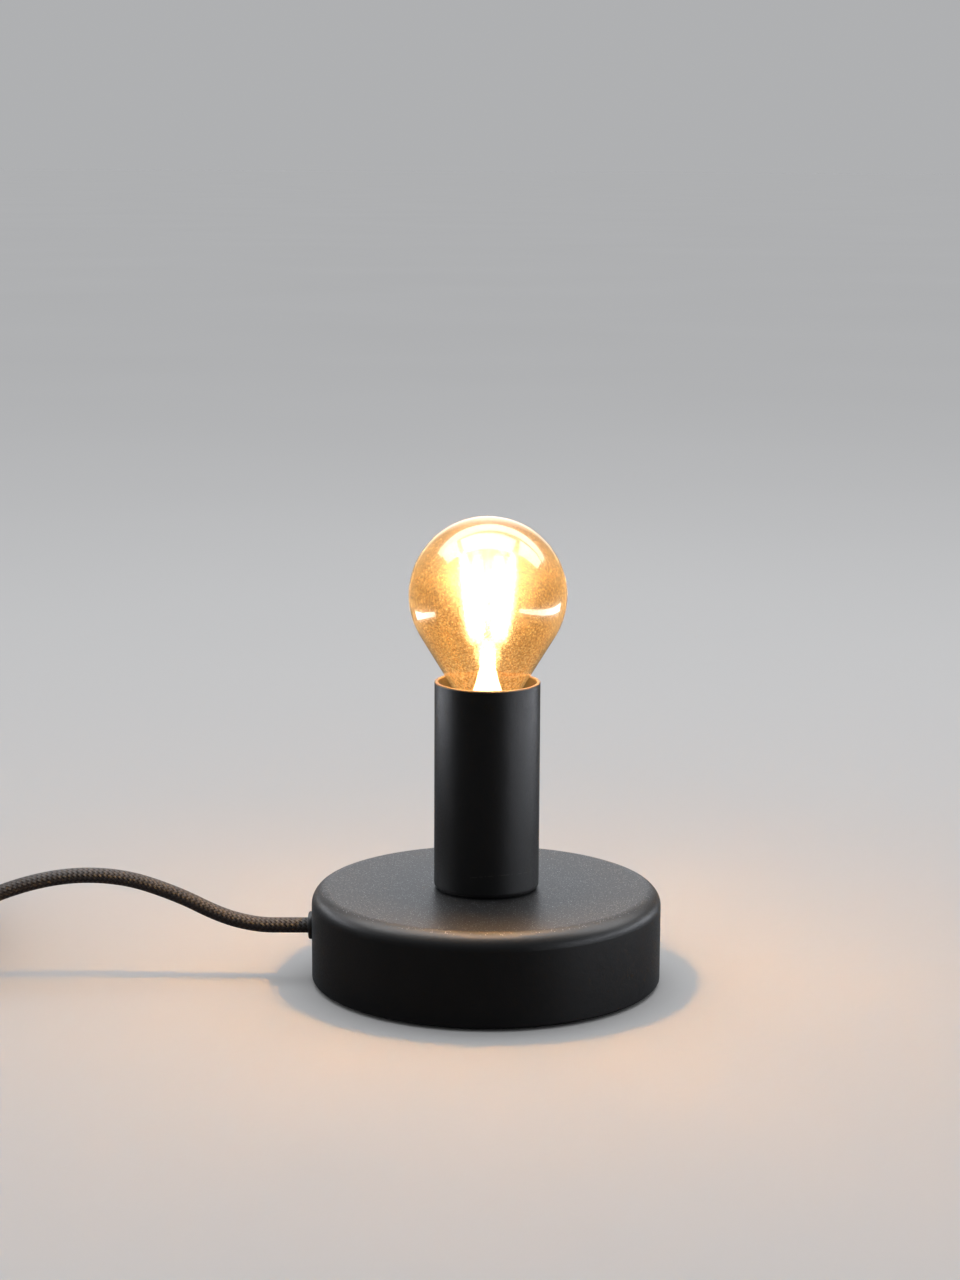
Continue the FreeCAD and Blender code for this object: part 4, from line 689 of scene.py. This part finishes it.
def lay_cord():
    """The cord in two stretches, from the lamp to the switch and from there to the plug."""
    first_line = cord_line("first_line", LAMP_TO_SWITCH)
    first, first_length = even_points(points_on(first_line), NEAR_STEP)
    second_line = cord_line("second_line", SWITCH_TO_COIL + coil_turns() + COIL_TO_PLUG)
    second, second_length = even_points(points_on(second_line), FAR_STEP)
    for line in (first_line, second_line):
        bpy.data.objects.remove(line)
    near = braid_tube("cord_near", first, CORD_RADIUS, NEAR_SIDES)
    far = braid_tube("cord_far", second, CORD_RADIUS, FAR_SIDES)
    for piece in (near, far):
        settle(piece, "root", FINISH["cord_cloth"], 60)
    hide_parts("cord_lamp_side")
    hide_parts("cord_plug_side", "cord_coil", "cord_plug_end")
    tie = coil_tie(second)


lay_cord()

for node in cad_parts.values():
    for slot in node.material_slots:
        slot.material = FINISH[slot.material.name.split(".")[0]]


# Studio

def area_lamp(name, place, target, size, power, colour):
    """A softbox that lights and shows in reflections, but isn't seen itself."""
    lamp = bpy.data.lights.new(name, "AREA")
    lamp.shape = "RECTANGLE"
    lamp.size, lamp.size_y = size
    lamp.energy = power
    lamp.color = colour
    thing = bpy.data.objects.new(name, lamp)
    bpy.context.scene.collection.objects.link(thing)
    thing.location = place
    thing.rotation_euler = (Vector(target) - Vector(place)).to_track_quat("-Z", "Y").to_euler()
    thing.visible_camera = False
    return thing


class Room(Finish):
    """The room's light: one tone for what is seen behind, one for gloss and one for soft light."""

    def __init__(self):
        self.material = bpy.data.worlds.new("studio")
        bpy.context.scene.world = self.material
        self.material.use_nodes = True
        self.tree = self.material.node_tree
        self.tree.nodes.clear()
        self.output = self.tree.nodes.new("ShaderNodeOutputWorld")

    def sky(self, colour, strength):
        """One even tone of the room."""
        return self.add("ShaderNodeBackground", {}, Color=colour, Strength=strength)

    def either(self, share, first, second):
        """The tone first where share is 0 and second where it is 1."""
        mixed = self.add("ShaderNodeMixShader", {})
        self._feed(mixed.node.inputs[0], share)
        self.tree.links.new(first.node.outputs[0], mixed.node.inputs[1])
        self.tree.links.new(second.node.outputs[0], mixed.node.inputs[2])
        return mixed

    def light(self):
        """Links the room's three tones, each for its own kind of ray."""
        east, north, up = self.split(self.add("ShaderNodeTexCoord", {}).out("Generated"))
        ray = self.add("ShaderNodeLightPath", {})
        seen = self.sky((0.430, 0.435, 0.444), 1.0)
        behind = (north - east.size() * 1.5).ramp(0.30, 0.80) * up.ramp(0.72, 0.45)
        gloss = self.sky((0.90, 0.94, 1.0), behind * 1.3 + up.ramp(0.0, 1.0, 0.06, 0.40))
        soft = self.sky((0.98, 0.99, 1.0), (north * 0.35 + up * 0.95).ramp(-0.2, 1.0, 0.25, 0.93))
        shown = self.either(ray.out("Is Glossy Ray"), soft, gloss)
        shown = self.either(ray.out("Is Camera Ray").most(ray.out("Is Transmission Ray")), shown, seen)
        self.tree.links.new(shown.node.outputs[0], self.output.inputs["Surface"])


CEILING = 1.31

# West, east, south and north edge in metres, turn in degrees and radiance
CEILING_PANELS = [
    ("ceiling_panel_left", -1.46, -0.76, -0.20, 0.62, -4, 6.5),
    ("ceiling_panel_middle", -0.64, 0.64, -0.22, 0.46, 0, 6.5),
    ("ceiling_panel_right", 0.78, 2.15, -0.02, 0.68, 9, 6.5),
    ("ceiling_panel_back", -1.60, 2.20, 0.64, 1.20, 7, 4.2),
]

# Place, size in metres and power of the strips that show in the globe's sides
LOW_STRIPS = [
    ("low_strip_left", (-0.135, 0.036, 0.061), (0.13, 0.013), 0.045),
    ("low_strip_right", (0.25, -0.013, 0.036), (0.45, 0.03), 0.36),
]
PANEL_TONE = (0.97, 0.98, 1.0)
STRIP_TONE = (0.90, 0.93, 1.0)
SOFT_PLACE = (0.1, 0.35, 1.0)
SOFT_SIZE = (0.9, 0.6)
SOFT_POWER = 2.6
FLOOR_SIZE = 60


def studio():
    """A pale floor, panels overhead that show in the glass, and one soft lamp that lights the floor."""
    bpy.ops.mesh.primitive_plane_add(size=FLOOR_SIZE, location=(0, 0, 0))
    floor = bpy.context.object
    floor.name = "studio_floor"
    pale = Finish("pale studio floor", Roughness=0.9, Specular_IOR_Level=0.0)
    cloud = pale.grain(0.002, 2.0)
    tone = pale.blend(cloud.ramp(0.3, 0.7), (0.600, 0.600, 0.606), (0.612, 0.612, 0.618))
    mirrored = pale.add("ShaderNodeLightPath", {}).out("Is Glossy Ray")
    pale.set("Base Color", pale.blend(mirrored, tone, (0.07, 0.07, 0.073)))
    floor.data.materials.append(pale.material)
    clear_selection()
    for name, west, east, south, north, turn, glow in CEILING_PANELS:
        wide, deep = east - west, north - south
        across, back = (west + east) / 2, (south + north) / 2
        panel = area_lamp(name, (across, back, CEILING), (across, back, 0), (wide, deep),
                          glow * math.pi * wide * deep, PANEL_TONE)
        panel.rotation_euler[2] += math.radians(turn)
        panel.visible_diffuse = False
    soft = area_lamp("soft_top_light", SOFT_PLACE, (*SOFT_PLACE[:2], 0), SOFT_SIZE, SOFT_POWER, (1, 1, 1))
    soft.visible_glossy = False
    for name, place, size, power in LOW_STRIPS:
        strip = area_lamp(name, place, (0, 0, GLOBE_MIDDLE), size, power, STRIP_TONE)
        strip.visible_diffuse = False
    Room().light()


# Power in watts and colour
BULB_LAMPS = [("bulb_light", 0.80, (1.0, 0.66, 0.40)), ("bulb_glint", 2.3, (1.0, 0.74, 0.54))]
LIGHT_RADIUS = 9 * MM


def lit_bulb():
    """The lit bulb's own light, riding with the bulb: what it spreads, and what it makes glint."""
    for name, power, colour in BULB_LAMPS:
        lamp = bpy.data.lights.new(name, "POINT")
        lamp.energy = power
        lamp.color = colour
        lamp.shadow_soft_size = LIGHT_RADIUS
        thing = bpy.data.objects.new(name, lamp)
        bpy.context.scene.collection.objects.link(thing)
        thing.location = (0, 0, LIGHT_HEIGHT)
        thing.visible_camera = False
        thing.visible_transmission = False
        thing.visible_diffuse = name == "bulb_light"
        thing.visible_glossy = name == "bulb_glint"
        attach(thing, "bulb")


FOCAL_PIXELS = 2700
FRAME_PIXELS = 1280
SENSOR = 36
CAMERA_PLACE = (0, -0.749178, 0.234623)
CAMERA_PITCH, CAMERA_TURN, CAMERA_ROLL = 0.179376, 0.002911, 0.005379


def camera():
    """The camera as fitted to the photograph: focal length, place and tilt."""
    lens = bpy.data.cameras.new("camera")
    lens.lens = FOCAL_PIXELS / FRAME_PIXELS * SENSOR
    lens.sensor_width = SENSOR
    thing = bpy.data.objects.new("camera", lens)
    bpy.context.scene.collection.objects.link(thing)
    thing.matrix_world = (Matrix.Translation(CAMERA_PLACE) @ Matrix.Rotation(CAMERA_TURN, 4, "Z")
                          @ Matrix.Rotation(math.pi / 2 - CAMERA_PITCH, 4, "X")
                          @ Matrix.Rotation(CAMERA_ROLL, 4, "Z"))
    bpy.context.scene.camera = thing


studio()
lit_bulb()
camera()
bpy.context.scene.view_settings.view_transform = "Standard"
